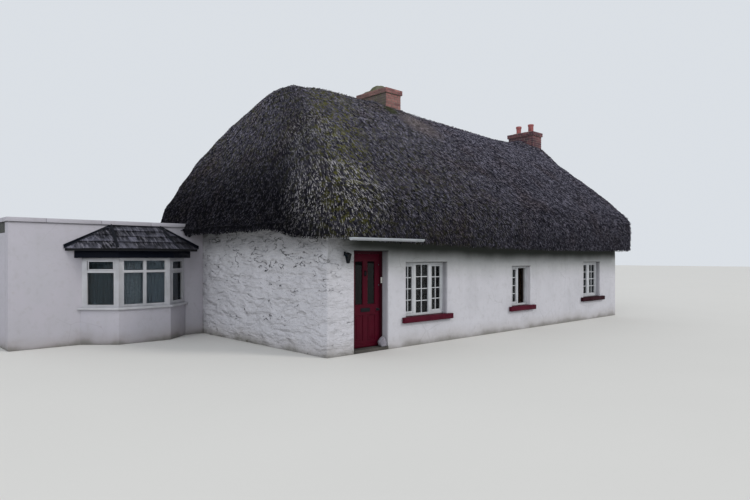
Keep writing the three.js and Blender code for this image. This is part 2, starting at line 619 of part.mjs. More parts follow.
// bay window
// outline of the bay at a distance outside its face, from left to right
function bayLine(reach) {
  const slant = Math.atan2(BAY_REACH, BAY_HALF_WALL - BAY_HALF_FRONT);
  const wallX = BAY_HALF_WALL + reach / Math.sin(slant);
  const frontX = BAY_HALF_FRONT + reach * Math.tan(slant / 2);
  const y = SIDE_FRONT - BAY_REACH - reach;
  return [
    [BAY_CENTRE - wallX, SIDE_FRONT - G], [BAY_CENTRE - frontX, y],
    [BAY_CENTRE + frontX, y], [BAY_CENTRE + wallX, SIDE_FRONT - G]];
}
// the same outline, carried on through the wall
function insideBay(reach) {
  const [a, b, c, d] = bayLine(reach);
  return [[a[0], a[1] + M], a, b, c, d, [d[0], d[1] + M]];
}
piece('bay_base', upright(bayLine(0), 0, BAY_SILL), WHITEWASH());
piece('bay_sill', upright(bayLine(0.05 * M), BAY_SILL + G, BAY_GLASS_LOW), WHITE_PAINT());

const bayTop = BAY_HEAD - G;
const bayRing = solid(upright(bayLine(-0.02 * M), BAY_GLASS_LOW + G, bayTop))
  .subtract(solid(upright(insideBay(-0.10 * M), 0, 3 * M)));
// the three faces: a middle point, a half width and a turn
const [w0, f0, f1, w1] = bayLine(-0.02 * M);
const faces = [
  { name: 'left', a: w0, b: f0 }, { name: 'centre', a: f0, b: f1 }, { name: 'right', a: f1, b: w1 },
];
let bayFrame = bayRing;
const panes = [];
for (const f of faces) {
  const length = Math.hypot(f.b[0] - f.a[0], f.b[1] - f.a[1]);
  const turn = Math.atan2(f.b[1] - f.a[1], f.b[0] - f.a[0]);
  const place = new THREE.Matrix4().makeTranslation(f.a[0], f.a[1], 0)
    .multiply(new THREE.Matrix4().makeRotationZ(turn));
  const post = 0.11 * M;
  const rail = 0.06 * M;
  const put = (x0, x1, y0, y1, z0, z1) => block(x0, x1, y0, y1, z0, z1).applyMatrix4(place);
  bayFrame = bayFrame.subtract(
    solid(put(post, length - post, -60, 120, BAY_GLASS_LOW + rail, BAY_HEAD - rail)));
  const bar = (x0, x1, z0, z1) => { bayFrame = bayFrame.add(solid(put(x0, x1, 0, 50, z0, z1))); };
  bar(post - 5, length - post + 5, 1.555 * M, 1.61 * M);
  if (f.name === 'centre') {
    bar(length / 2 - 32, length / 2 + 32, BAY_GLASS_LOW + rail - 5, BAY_HEAD - rail + 5);
  }
  panes.push([`bay_glass_${f.name}`, put(post + G, length - post - G, 50 + G, 50 + G + GLASS,
    BAY_GLASS_LOW + rail + G, BAY_HEAD - rail - G)]);
}
piece('bay_frame', bayFrame, WHITE_PAINT());
for (const [name, g] of panes) piece(name, g, PANE());
// a net curtain hangs from the head, right round the inside of the frames
piece('bay_net_curtain',
  solid(upright(bayLine(-0.115 * M), BAY_GLASS_LOW + 0.03 * M, BAY_HEAD - G))
    .subtract(solid(upright(insideBay(-0.14 * M), 0, 3 * M))), NET());

piece('bay_fascia', upright(bayLine(0.085 * M), BAY_HEAD, BAY_FASCIA_TOP), NAVY_PAINT());
{
  const edge = bayLine(0.205 * M);
  const corners = [];
  for (const [x, y] of edge) {
    corners.push(new THREE.Vector3(x, y, BAY_FASCIA_TOP + G), new THREE.Vector3(x, y, BAY_EAVE_TOP));
  }
  for (const side of [-1, 1]) {
    corners.push(new THREE.Vector3(BAY_CENTRE + side * 0.56 * M, SIDE_FRONT - G, BAY_ROOF_TOP));
  }
  piece('bay_roof', new ConvexGeometry(corners), SLATE());
}

export default cottage;
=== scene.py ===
# %% [markdown]
# # A thatched cottage, dressed for its picture
#
# The house comes to this script as a plain model: walls, thatch, chimneys, door and windows are
# already in their right places and sizes. This notebook gives them their real surfaces. It reads
# like a building job: first the camera and the light, then the thatch, the limewashed walls, the
# bricks, the slates, the joinery and the small fittings. Each step says what the thing is on a
# real cottage, how it could be made in Blender, and why it is made this way here.

# %% Load the fixed frame
import math
from functools import cache

import bmesh
import bpy
from mathutils import Matrix, Vector, noise


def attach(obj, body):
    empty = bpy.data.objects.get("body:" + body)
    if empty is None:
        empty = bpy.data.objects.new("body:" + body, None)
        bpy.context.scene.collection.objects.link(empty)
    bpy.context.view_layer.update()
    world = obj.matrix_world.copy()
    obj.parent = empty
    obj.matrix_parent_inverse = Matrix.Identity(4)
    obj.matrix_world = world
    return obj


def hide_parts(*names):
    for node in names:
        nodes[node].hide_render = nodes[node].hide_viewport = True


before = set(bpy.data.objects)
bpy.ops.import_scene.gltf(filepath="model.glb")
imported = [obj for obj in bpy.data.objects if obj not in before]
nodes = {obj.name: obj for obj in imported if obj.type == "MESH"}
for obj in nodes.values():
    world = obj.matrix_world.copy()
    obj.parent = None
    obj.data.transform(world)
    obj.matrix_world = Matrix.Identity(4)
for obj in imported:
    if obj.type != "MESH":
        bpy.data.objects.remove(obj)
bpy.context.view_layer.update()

print("pieces in the frame:", len(nodes))

# %% [markdown]
# ## One corner to measure from
#
# A builder measures a house from one corner of its walls. The model's origin is the middle of
# the floor, so every piece here is drawn from the front left corner, with X along the front, Y
# towards the back and Z up, and is shifted once, when its mesh is finished. The objects stay at
# the origin with their place in their mesh, so a pattern painted in object coordinates fits the
# house wherever it falls.

# %% The corner, and helpers that make and finish a piece
HOUSE_CORNER = Vector((-6.0, -3.4, 0.0))
LENGTH = 12.0
DEPTH = 6.8
WALL = 0.55


def mesh_of(name, form):
    mesh = bpy.data.meshes.new(name)
    form.to_mesh(mesh)
    form.free()
    return mesh


def triangles(mesh):
    return sum(len(face.vertices) - 2 for face in mesh.polygons)


def carry(mesh, name, kind, values):
    """Store a value on every point of a mesh. The kind is FLOAT or FLOAT_VECTOR."""
    if kind == "FLOAT_VECTOR":
        values = [c for value in values for c in value]
    stored = mesh.attributes.new(name, kind, "POINT").data
    stored.foreach_set("value" if kind == "FLOAT" else "vector", values)


def set_piece(name, form, material, body="cottage", stands_for=(), crease=40):
    """Turn a bmesh drawn from the house's corner into a piece that rides on a body."""
    mesh = mesh_of(name, form)
    mesh.transform(Matrix.Translation(HOUSE_CORNER))
    return hang_mesh(name, mesh, material, body, stands_for, crease)


def hang_mesh(name, mesh, material, body="cottage", stands_for=(), crease=None):
    """Put a mesh that is already in place into the scene. Edges sharper than crease stay crisp."""
    piece = bpy.data.objects.new(name, mesh)
    bpy.context.scene.collection.objects.link(piece)
    mesh.materials.clear()
    mesh.materials.append(material)
    if crease is not None:
        mesh.shade_smooth()
        mesh.set_sharp_from_angle(angle=math.radians(crease))
    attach(piece, body)
    if stands_for:
        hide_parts(*stands_for)
    return piece


def finish_plain(node, material):
    """Leave a plain part showing, with a real finish on it."""
    nodes[node].data.materials.clear()
    nodes[node].data.materials.append(material)


def skin(form, lines, closed=True):
    """Join each line of verts to the next with faces. A closed line also joins its own ends."""
    for a, b in zip(lines, lines[1:]):
        for i in range(len(a) if closed else len(a) - 1):
            j = (i + 1) % len(a)
            form.faces.new((a[i], a[j], b[j], b[i]))


def clamp(value, low, high):
    return min(high, max(low, value))


def wander(*place):
    """Smooth noise between -1 and 1 at a place."""
    return noise.noise(Vector(place))


def smooth(value):
    t = clamp(value, 0.0, 1.0)
    return t * t * (3.0 - 2.0 * t)


print("the house is", LENGTH, "by", DEPTH, "m, with walls", WALL, "m thick")

# %% [markdown]
# ## Camera
#
# The photograph was taken at about eye height, looking at the front left corner. Vertical lines
# stay vertical in it, so the camera is level and its lens is shifted up a little rather than
# tilted. A 28 mm lens on a full-frame sensor gives the same width of view.

# %% Set up the camera
FOCAL_PIXELS = 583.0
IMAGE_WIDTH = 750
HORIZON_BELOW_MIDDLE = 7.0
EYE = Vector((-6.798, -8.607, 1.90))
LOOK = Vector((0.68212, 0.73124, 0.0))

camera_data = bpy.data.cameras.new("corner_camera")
camera_data.sensor_width = 36.0
camera_data.lens = FOCAL_PIXELS / IMAGE_WIDTH * camera_data.sensor_width
camera_data.shift_y = HORIZON_BELOW_MIDDLE / IMAGE_WIDTH
camera_data.clip_end = 500.0
camera = bpy.data.objects.new("corner_camera", camera_data)
camera.location = EYE + HOUSE_CORNER
camera.rotation_euler = LOOK.to_track_quat("-Z", "Y").to_euler()
bpy.context.scene.collection.objects.link(camera)
bpy.context.scene.camera = camera
print("lens", round(camera_data.lens, 2), "mm, eye height", EYE.z, "m")

# %% [markdown]
# ## Small helpers for materials
#
# Colours are easiest to pick as the sRGB codes a paint chart would print, but shaders work in
# linear light, so one function turns the first into the second. Another adds one node to a
# tree, with its settings, and fills or links its inputs. Every material and every geometry tree
# below is made with it. Paint, soot and moss all lie over one another in coats, so two more
# functions work out where a coat is seen and lay coats over a colour.

# %% Colour and node helpers
NOISE, RANGE, MIX, MATH = "ShaderNodeTexNoise", "ShaderNodeMapRange", "ShaderNodeMix", "ShaderNodeMath"
MAPPING, BUMP = "ShaderNodeMapping", "ShaderNodeBump"
SOFT = {"interpolation_type": "SMOOTHSTEP"}


def linear(code):
    """An sRGB code such as '#c9cac8' as the linear colour that a shader wants."""
    channels = [int(code[i:i + 2], 16) / 255 for i in (1, 3, 5)]
    light = [c / 12.92 if c <= 0.04045 else ((c + 0.055) / 1.055) ** 2.4 for c in channels]
    return (*light, 1.0)


def add(tree, kind, inputs=(), **settings):
    """Add a node: settings go on the node, inputs are values, or nodes and sockets to link from."""
    node = tree.nodes.new(kind)
    for name, value in settings.items():
        setattr(node, name, value)
    fill(node, inputs)
    return node


def fill(node, inputs):
    """Set or link inputs, given by name or by their place among the inputs in use."""
    in_use = [socket for socket in node.inputs if socket.enabled]
    for key, value in inputs.items() if isinstance(inputs, dict) else enumerate(inputs):
        socket = in_use[key] if isinstance(key, int) else node.inputs[key]
        if isinstance(value, bpy.types.Node):
            value = next(output for output in value.outputs if output.enabled)
        if isinstance(value, bpy.types.NodeSocket):
            node.id_data.links.new(value, socket)
        else:
            socket.default_value = value


def mask(tree, share, *steps, soft=True):
    """A share cut down by steps, each (value, low, high, start, end), soft or straight."""
    for step in steps:
        seen = add(tree, RANGE, step, **(SOFT if soft else {}))
        share = add(tree, MATH, [share, seen], operation="MULTIPLY")
    return share


def coated(tree, colour, *coats, soft=True):
    """Lay coats over a colour. Each is (colour code, share, steps of its mask)."""
    for code, share, *steps in coats:
        seen = mask(tree, share, *steps, soft=soft)
        colour = add(tree, MIX, [seen, colour, linear(code)], data_type="RGBA")
    return colour


def start_material(name):
    """A new material with one shader: returns it, its tree, the shader and object coordinates."""
    material = bpy.data.materials.new(name)
    material.use_nodes = True
    tree = material.node_tree
    tree.nodes.clear()
    shader = add(tree, "ShaderNodeBsdfPrincipled")
    add(tree, "ShaderNodeOutputMaterial", [shader])
    place = add(tree, "ShaderNodeTexCoord").outputs["Object"]
    return material, tree, shader, place


print("mid grey #808080 is", round(linear("#808080")[0], 3), "in linear light")

# %% [markdown]
# ## Floor and light
#
# The house stands in a studio: a plain pale floor and an even pale surround, which gives most
# of the light, as a cloudy day would. The key lamp stands for the sun. It comes from the front
# and a little to the right, so that the front is brightest and the reveals of the windows are in
# shade. A weaker and wider lamp fills the end wall from the left, at a slant that shows its
# lumps.

# %% Stage, lights and surround
PALE_FLOOR = "#d6d4cf"

floor_finish, tree, shader, place = start_material("Pale_studio_floor_matt")
# a very faint mottle keeps the floor from looking like empty space
mottle = add(tree, NOISE, [place, 0.35, 4.0])
shade = add(tree, MIX, [mottle, linear("#d2d0cb"), linear(PALE_FLOOR)], data_type="RGBA")
fill(shader, {"Base Color": shade, "Roughness": 0.85})

form = bmesh.new()
bmesh.ops.create_grid(form, x_segments=8, y_segments=8, size=120.0)
bmesh.ops.translate(form, verts=form.verts, vec=(0.0, 0.0, -0.004))
floor_mesh = mesh_of("studio_floor", form)
floor_mesh.materials.append(floor_finish)
floor = bpy.data.objects.new("studio_floor", floor_mesh)
bpy.context.scene.collection.objects.link(floor)


def soft_sun(name, comes_from, energy, angle, colour):
    """A sun lamp. The wider its angle, the softer its shadows."""
    data = bpy.data.lights.new(name, "SUN")
    data.energy = energy
    data.angle = math.radians(angle)
    data.color = colour
    lamp = bpy.data.objects.new(name, data)
    lamp.rotation_euler = (-Vector(comes_from)).to_track_quat("-Z", "Y").to_euler()
    bpy.context.scene.collection.objects.link(lamp)


soft_sun("key_light", (0.45, -0.78, 0.66), 1.05, 14, (1.0, 0.97, 0.94))
soft_sun("fill_light", (-0.75, -0.45, 0.45), 0.92, 40, (0.93, 0.95, 1.0))

surround = bpy.data.worlds.new("pale_surround")
bpy.context.scene.world = surround
surround.use_nodes = True
# glossy rays see a dimmer surround, as dark cards round the camera would give, so reflections stay deep
rays = add(surround.node_tree, "ShaderNodeLightPath").outputs["Is Glossy Ray"]
strength = add(surround.node_tree, RANGE, [rays, 0.0, 1.0, 0.92, 0.18])
fill(surround.node_tree.nodes["Background"], {"Color": linear("#e3e8ee"), "Strength": strength})
bpy.context.scene.view_settings.view_transform = "Standard"

# %% [markdown]
# ## The form of the roof
#
# Thatch follows a simple rule, so the roof can be drawn from one: its height depends on how far
# a point lies in from the rounded eave. The slopes rise almost straight, bulge a little in the
# middle and meet at a soft ridge, which sags towards the party wall as old ridges do. The hip
# over the end wall is steeper than the front. Two functions say how high the straw and the
# underside of the overhang are at any place, and everything else about the roof is built on
# them.

# %% Height of the thatch and of its underside
OVERHANG = 0.48
EAVE_LINE = 2.949
RIDGE_LEFT = 6.377
RIDGE_RIGHT = 6.006
HIP_RUN = 1.548
PLAN_RADIUS = 1.479
HIP_SOFTNESS = 0.489
RIDGE_SOFTNESS = 0.32
SLOPE_BULGE = 0.052
LIP_DROP = 0.34
LIP_RUN = 0.36
THATCH_HEIGHT = 0.65
SOFFIT_LEFT, SOFFIT_RIGHT, SOFFIT_END = 2.235, 2.06, 2.46
SOFFIT_RISE = 0.45
HALF = DEPTH / 2 + OVERHANG
STRETCH = HALF / (HIP_RUN + OVERHANG)


def inset(x, y):
    """How far a point lies in from the rounded eave."""
    across = math.hypot(y - DEPTH / 2, RIDGE_SOFTNESS) - RIDGE_SOFTNESS / 2
    qx = PLAN_RADIUS - (x + OVERHANG) * STRETCH
    qy = across - (HALF - PLAN_RADIUS)
    if qx > 0 and qy > 0:
        return PLAN_RADIUS - math.hypot(qx, qy)
    k = 0.0001 + HIP_SOFTNESS * clamp(-min(qx, qy) / PLAN_RADIUS, 0, 1)
    h = clamp(0.5 - 0.5 * (qy - qx) / k, 0, 1)
    return PLAN_RADIUS - (qy * (1 - h) + qx * h + k * h * (1 - h))


def straw_height(x, y, rolled=True):
    """Top of the thatch. Where it is rolled, the edge turns down over the eave."""
    ridge = RIDGE_LEFT + (RIDGE_RIGHT - RIDGE_LEFT) * clamp((x - 2) / (LENGTH - 2), 0, 1)
    d = max(inset(x, y), 0)
    t = d / HALF
    lip = LIP_DROP * (1 - min(d / LIP_RUN, 1)) ** 2 if rolled else 0
    return EAVE_LINE + (ridge - EAVE_LINE) * (t + SLOPE_BULGE * 4 * t * (1 - t)) - lip


def soffit_height(x, y):
    """Underside of the overhang: low along the front, lifted over the end wall."""
    along = clamp(x / (LENGTH * 0.55), 0, 1)
    edge = SOFFIT_LEFT + (SOFFIT_RIGHT - SOFFIT_LEFT) * along ** 0.6
    middle = smooth(y / 1.3) * smooth((DEPTH - y) / 1.3)
    end = (SOFFIT_END - edge) * middle * smooth((0.9 - x) / 0.6)
    return edge + end + SOFFIT_RISE * clamp(inset(x, y), 0, OVERHANG)


print("ridge at the hip:", round(straw_height(1.8, 3.4), 2), "m")
print("ridge at the party wall:", round(straw_height(12, 3.4), 2), "m")

# %% [markdown]
# ## How the straw hangs
#
# A thatcher lays the straw straight down the slope, and fans it out round the hip like the
# hairs of a brush. The roof is therefore drawn as strands: each one starts at a place on the
# ridge and ends at a place on the eave, and all those round the hip start near one point. A
# mesh built strand by strand has its faces, and its texture coordinates, already combed the
# way that the straw lies.

# %% Lay out the strands of the roof
APEX = 1.35
FAN = 0.70
CORNER_X = -OVERHANG + PLAN_RADIUS / STRETCH
CORNER_Y = PLAN_RADIUS - OVERHANG
ALONG_FRONT, ROUND_CORNER, ALONG_END = 150, 26, 30


def strand_ends():
    """(eave point, ridge point, zone) from the party wall's front end round to its back end."""
    front = [(LENGTH + (CORNER_X - LENGTH) * i / ALONG_FRONT, -OVERHANG, "front")
             for i in range(ALONG_FRONT)]
    for i in range(ROUND_CORNER):
        turn = math.pi / 2 * i / ROUND_CORNER
        x = -OVERHANG + PLAN_RADIUS * (1 - math.sin(turn)) / STRETCH
        front.append((x, -OVERHANG + PLAN_RADIUS * (1 - math.cos(turn)), "hip"))
    front += [(-OVERHANG, CORNER_Y + (DEPTH / 2 - CORNER_Y) * i / ALONG_END, "hip")
              for i in range(ALONG_END)]
    middle = [(-OVERHANG, DEPTH / 2, "hip")]
    back = [(x, DEPTH - y, "back" if zone == "front" else zone) for x, y, zone in front[::-1]]
    ends = []
    for x, y, zone in front + middle + back:
        ridge_x = min(APEX + FAN * math.log1p(math.exp((x - APEX) / FAN)), LENGTH)
        ends.append((Vector((x, y)), Vector((ridge_x, DEPTH / 2)), zone))
    return ends


LEFT_STACK = (4.32, 4.88, 2.87, 4.02)
RIGHT_STACK = (11.45, 12.0, 2.73, 3.73)
STEPS_UP = [0, 0.006, 0.014, 0.025, 0.038, 0.055, 0.075, 0.1, 0.128]
STEPS_UP += [0.16 + 0.84 * i / 38 for i in range(39)]


def swept_up(x, y):
    """Thatch is swept up against a chimney, so that the rain runs off it."""
    rise = 0.0
    for (x0, x1, y0, y1), height, reach in ((LEFT_STACK, 0.10, 0.42), (RIGHT_STACK, 0.20, 0.50)):
        away = math.hypot(max(x0 - x, 0, x - x1), max(y0 - y, 0, y - y1))
        rise += height * math.exp(-((away / reach) ** 2))
    return rise


def ruffle(place, u, v):
    """Lumps and combed ridges of old straw, in metres along the surface's normal."""
    swell = 0.030 * noise.noise(place * 0.75) + 0.014 * noise.noise(place * 2.3)
    combed = 0.008 * wander(u * 7.0, v * 0.7, 3.0)
    courses = 0.006 * math.sin(v * 9.0 + 3.0 * noise.noise(place * 0.6))
    return swell + combed + courses


# a metre in plan is about this many metres of straw, and slopes are measured over twice PROBE
UP_THE_SLOPE = 1.33
PROBE = 0.03


def top_strand(eave, ridge, u):
    """Points from the ridge down to the eave: (place, height up the strand)."""
    points = []
    length = (ridge - eave).length
    for t in STEPS_UP:
        x, y = eave + (ridge - eave) * t
        fall_x = straw_height(x - PROBE, y) - straw_height(x + PROBE, y)
        fall_y = straw_height(x, y - PROBE) - straw_height(x, y + PROBE)
        normal = Vector((fall_x, fall_y, 2 * PROBE)).normalized()
        place = Vector((x, y, straw_height(x, y)))
        v = t * length * UP_THE_SLOPE
        fade = 1.0 - smooth((t - 0.9) / 0.1)
        lift = ruffle(place, u * fade, v) - 0.03
        # the ridge does not start with a point: it is worn round where the hip meets it
        near = math.exp(-((y - DEPTH / 2) / 0.8) ** 2)
        worn = 0.23 * math.exp(-((x - 0.94) / 0.33) ** 2) - 0.11 * math.exp(-((x - 1.70) / 0.38) ** 2)
        place.z += worn * near + swept_up(x, y)
        # the hip is fuller than a straight slope
        lift += 0.07 * smooth((1.6 - x) / 1.2) * smooth((t - 0.3) / 0.3) * smooth((1.0 - t) / 0.25)
        points.append((place + normal * lift, v))
    return points[::-1]


STRANDS = strand_ends()
print("strands:", len(STRANDS), "with", len(STEPS_UP), "steps each")

# %% [markdown]
# ## The coat of thatch
#
# The body of the roof is one closed skin. Each strand runs down the slope, rolls over the thick
# eave, comes back along the soffit to the wall and climbs up under the straw to the ridge
# again, so the thatch has its true thickness when it is seen from below. Small noise along the
# strands gives the swells and combed ridges, and the edge of the eave is left ragged.

# %% Build the coat strand by strand
def eave_and_underside(eave, ridge, u):
    """The rest of a strand: the cut face of the eave, the soffit and the underside."""
    inward = (ridge - eave).normalized()
    top = straw_height(eave.x, eave.y)
    low = soffit_height(eave.x, eave.y) + 0.015
    ragged = 0.018 * wander(u * 2.1, 0.0, 0.0) + 0.012 * wander(u * 9, 1, 0)
    points = []
    for share in (0.3, 0.6, 0.85, 1.0):
        bulge = 0.012 * math.sin(math.pi * share) + 0.008 * wander(u * 5, share * 3, 2)
        flat = eave - inward * bulge
        points.append((flat.x, flat.y, top + (low - top) * share, -(top - low) * share))
    for reach, rise in ((0.03, -0.02), (0.09, -0.02), (0.25, 0.0), (0.62, 0.0)):
        flat = eave + inward * reach
        level = soffit_height(flat.x, flat.y) + rise + ragged * (1.0 if reach < 0.2 else 0.3)
        points.append((flat.x, flat.y, level, -(top - low) - reach))
    start = eave + inward * 0.62
    for share in (0.0, 0.2, 0.4, 0.6, 0.8, 1.0):
        flat = start + (ridge - start) * share
        level = straw_height(flat.x, flat.y, rolled=False) - THATCH_HEIGHT
        points.append((flat.x, flat.y, level, share))
    return points


coat_points = []
coat_uv = []
u_along = 0.0
for index, (eave, ridge, zone) in enumerate(STRANDS):
    if index:
        u_along += (eave - STRANDS[index - 1][0]).length
    for place, v in top_strand(eave, ridge, u_along):
        coat_points.append(place)
        coat_uv.append((u_along, v))
    for x, y, z, v in eave_and_underside(eave, ridge, u_along):
        coat_points.append(Vector((x, y, z)))
        coat_uv.append((u_along, v))

ROW = len(coat_points) // len(STRANDS)
coat_faces = []
for c in range(len(STRANDS) - 1):
    for j in range(ROW - 1):
        a = c * ROW + j
        coat_faces.append((a, a + ROW, a + ROW + 1, a + 1))
print("coat:", len(coat_points), "points,", len(coat_faces), "faces, eave", round(u_along, 1), "m long")


# %% Close the coat at the party wall and keep its combed coordinates
def sewn(points, faces, uv):
    """A bmesh of the strands, welded along the ridge and closed at the open end."""
    form = bmesh.new()
    verts = [form.verts.new(p) for p in points]
    layer = form.loops.layers.uv.new("combed")
    for face in faces:
        made = form.faces.new([verts[i] for i in face])
        for loop, i in zip(made.loops, face):
            loop[layer].uv = uv[i]
    bmesh.ops.remove_doubles(form, verts=form.verts, dist=0.0004)
    bmesh.ops.dissolve_degenerate(form, edges=form.edges, dist=0.0004)
    open_edges = [edge for edge in form.edges if edge.is_boundary]
    bmesh.ops.triangle_fill(form, edges=open_edges, use_beauty=True)
    bmesh.ops.recalc_face_normals(form, faces=form.faces)
    return form


coat_form = sewn(coat_points, coat_faces, coat_uv)
print("open edges left:", sum(edge.is_boundary for edge in coat_form.edges))

# %% [markdown]
# ## Weathered straw
#
# New straw is gold, but after a winter or two it turns grey, and an old roof is nearly black in
# its gaps, where the dark is partly painted shade, with pale grey tips that catch the light. Moss
# grows in olive patches, most on the shoulder between the front and the hip. The hip is painted
# dark, as wet straw and as painted shade, and the lower slope is darker, as painted shade. One
# material serves the coat and the loose stalks: every point carries a tone from 0, a shaded gap,
# to 1, a dry tip, and the patches are noise in object coordinates, so they run across both alike.

# %% Straw material
def old_straw(name, from_coat):
    material, tree, shader, place = start_material(name)
    tone = add(tree, "ShaderNodeAttribute", attribute_name="tone").outputs["Fac"]
    most_stalks = (tone, 0.0, 0.35, 0.25, 1.0)
    dry_tips = add(tree, RANGE, [tone, 0.2, 0.65, 0.0, 1.0])
    few_tips = (tone, 0.32, 0.72, 0.0, 1.0)
    x, y, z = add(tree, "ShaderNodeSeparateXYZ", [place]).outputs
    # old, wet straw, almost black, with painted shade in the gaps where the tone is low, and the grey tips
    # that have dried out
    colour = add(tree, MIX, [tone, linear("#090a1a"), linear("#9793a2")], data_type="RGBA")
    # browner and greyer drifts a metre or so across
    drift = add(tree, NOISE, [place, 0.9, 4.0])
    browner = add(tree, MIX, [1.0, colour, linear("#d9bfae")], data_type="RGBA", blend_type="MULTIPLY")
    brown = add(tree, RANGE, [drift, 0.5, 0.72, 0.0, 0.6])
    colour = add(tree, MIX, [brown, colour, browner], data_type="RGBA")
    # moss follows a band down the front, a little to the right of the shoulder. It thins out over
    # the left half of the front, and is rare elsewhere
    lean = add(tree, MATH, [y, -0.62, -2.41], operation="MULTIPLY_ADD")
    across = add(tree, MATH, [x, lean], operation="ADD")
    band = mask(tree, 1.0, (across, -6.75, -6.2, 0.0, 1.0), (across, -4.6, -5.5, 0.0, 1.0),
                (y, 0.9, -0.6, 0.0, 1.0))
    thin = add(tree, RANGE, [x, 0.5, -3.0, 0.06, 0.34])
    mossy = add(tree, MATH, [band, thin], operation="MAXIMUM")
    spots = add(tree, NOISE, [place, 9.5, 5.0, 0.7])
    colour = coated(tree, colour, ("#67662f", mossy, (spots, 0.50, 0.58, 0.0, 0.92)), soft=False)
    # patches of their own: the worn straw behind the left chimney, the moss at its foot, and the
    # pale broken ends that stand up all along the shoulder
    for middle, radius, share, code, chosen in (((-0.95, -1.15, 5.5), 0.95, 0.55, "#8f837f", most_stalks),
                                                ((-1.66, -0.70, 5.9), 0.34, 0.85, "#454b22", most_stalks),
                                                ((-5.85, -3.40, 3.0), 1.45, 0.86, "#e2dede", few_tips),
                                                ((-5.45, -2.20, 4.5), 1.10, 0.46, "#ceccca", few_tips)):
        away = add(tree, "ShaderNodeVectorMath", [place, middle], operation="DISTANCE")
        near = add(tree, RANGE, [away, radius, radius * 0.3, 0.0, share], **SOFT)
        colour = coated(tree, colour, (code, near, chosen), soft=False)
    # painted shade: the straw is darker lower down the slope, and darkest at the eave
    colour = coated(tree, colour, ("#0e0f13", 1.0, (z, 5.9, 3.8, 0.06, 0.32)),
                    ("#0e0f13", 1.0, (z, 2.72, 2.32, 0.0, 0.34)), soft=False)
    # the hip is painted dark, as wet straw and as painted shade on the side away from the sun, most at its
    # foot. Its near limit follows the lie of the strands, which all lean towards the top of the hip
    below_top = add(tree, MATH, [6.5, z], operation="SUBTRACT")
    fanned = add(tree, MATH, [y, below_top], operation="DIVIDE")
    damp_and_shade = add(tree, RANGE, [dry_tips, 0.0, 1.0, 0.92, 0.68])
    colour = coated(tree, colour, ("#07080f", damp_and_shade, (x, -4.4, -5.6, 0.0, 1.0),
                                   (fanned, -1.0, -0.66, 0.0, 1.0), (z, 5.0, 3.1, 0.0, 1.0)))
    if from_coat:
        uv = add(tree, "ShaderNodeUVMap", uv_map="combed")
        lie = add(tree, MAPPING, {"Vector": uv, "Scale": (55.0, 4.0, 1.0)})
        stalks = add(tree, NOISE, [lie, 1.0, 5.0])
        bump = add(tree, BUMP, {"Strength": 0.9, "Distance": 0.02, "Height": stalks})
    else:
        grain = add(tree, NOISE, [place, 160.0, 2.0])
        bump = add(tree, BUMP, {"Strength": 0.4, "Distance": 0.003, "Height": grain})
    fill(shader, {"Base Color": colour, "Roughness": 0.92, "Specular IOR Level": 0.12, "Normal": bump})
    return material


coat_straw = old_straw("Weathered_straw_thatch_combed", from_coat=True)
loose_straw = old_straw("Weathered_straw_stalks_cut_ends", from_coat=False)
print("straw materials:", coat_straw.name, "and", loose_straw.name)

# %% Hang the coat in place of the plain thatch
coat_mesh = mesh_of("thatch_coat", coat_form)
# the coat lies in the gaps under the loose stalks, so its tone is low: old wet straw and painted shade
carry(coat_mesh, "tone", "FLOAT", [0.16 + 0.14 * noise.noise(v.co * 4.0) for v in coat_mesh.vertices])
coat_mesh.transform(Matrix.Translation(HOUSE_CORNER))
hang_mesh("thatch_coat", coat_mesh, coat_straw,
          stands_for=("thatch_hip_end", "thatch_front_slope", "thatch_back_slope"), crease=60)
print("coat triangles:", triangles(coat_mesh))

# %% [markdown]
# ## Loose straw, grown by Geometry Nodes
#
# What makes thatch read as thatch is thousands of cut ends lying over each other. They are far
# too many to place by hand, and each is the same simple thing, so Geometry Nodes lay them: points
# are scattered on the coat, a stalk is set on each, turned to lie down the slope, and tilted so
# that its butt stands a little proud while its tip is buried. A stalk here is a bundle about as
# thick as a finger, which is what the eye picks out from a distance, and it is a long
# three-sided cone with only four faces. The tree ends by making the copies real, because an
# export would lose them, and by setting their material.

# %% The tree that lays the straw
def start_tree(name, kinds):
    """A geometry tree with named inputs of the given kinds: returns it and what it is given."""
    tree = bpy.data.node_groups.new(name, "GeometryNodeTree")
    for label, kind in (("Geometry", "Geometry"), *kinds, ("Seed", "Int"), ("Finish", "Material")):
        tree.interface.new_socket(label, in_out="INPUT", socket_type="NodeSocket" + kind)
    tree.interface.new_socket("Geometry", in_out="OUTPUT", socket_type="NodeSocketGeometry")
    return tree, add(tree, "NodeGroupInput").outputs


def end_tree(tree, laid, tone, finish):
    """Store a tone on every copy, make the copies real and give them their material."""
    toned = add(tree, "GeometryNodeStoreNamedAttribute", {"Geometry": laid, "Name": "tone", "Value": tone},
                data_type="FLOAT", domain="INSTANCE")
    real = add(tree, "GeometryNodeRealizeInstances", [toned])
    done = add(tree, "GeometryNodeSetMaterial", {"Geometry": real, "Material": finish})
    add(tree, "NodeGroupOutput", [done])
    return tree


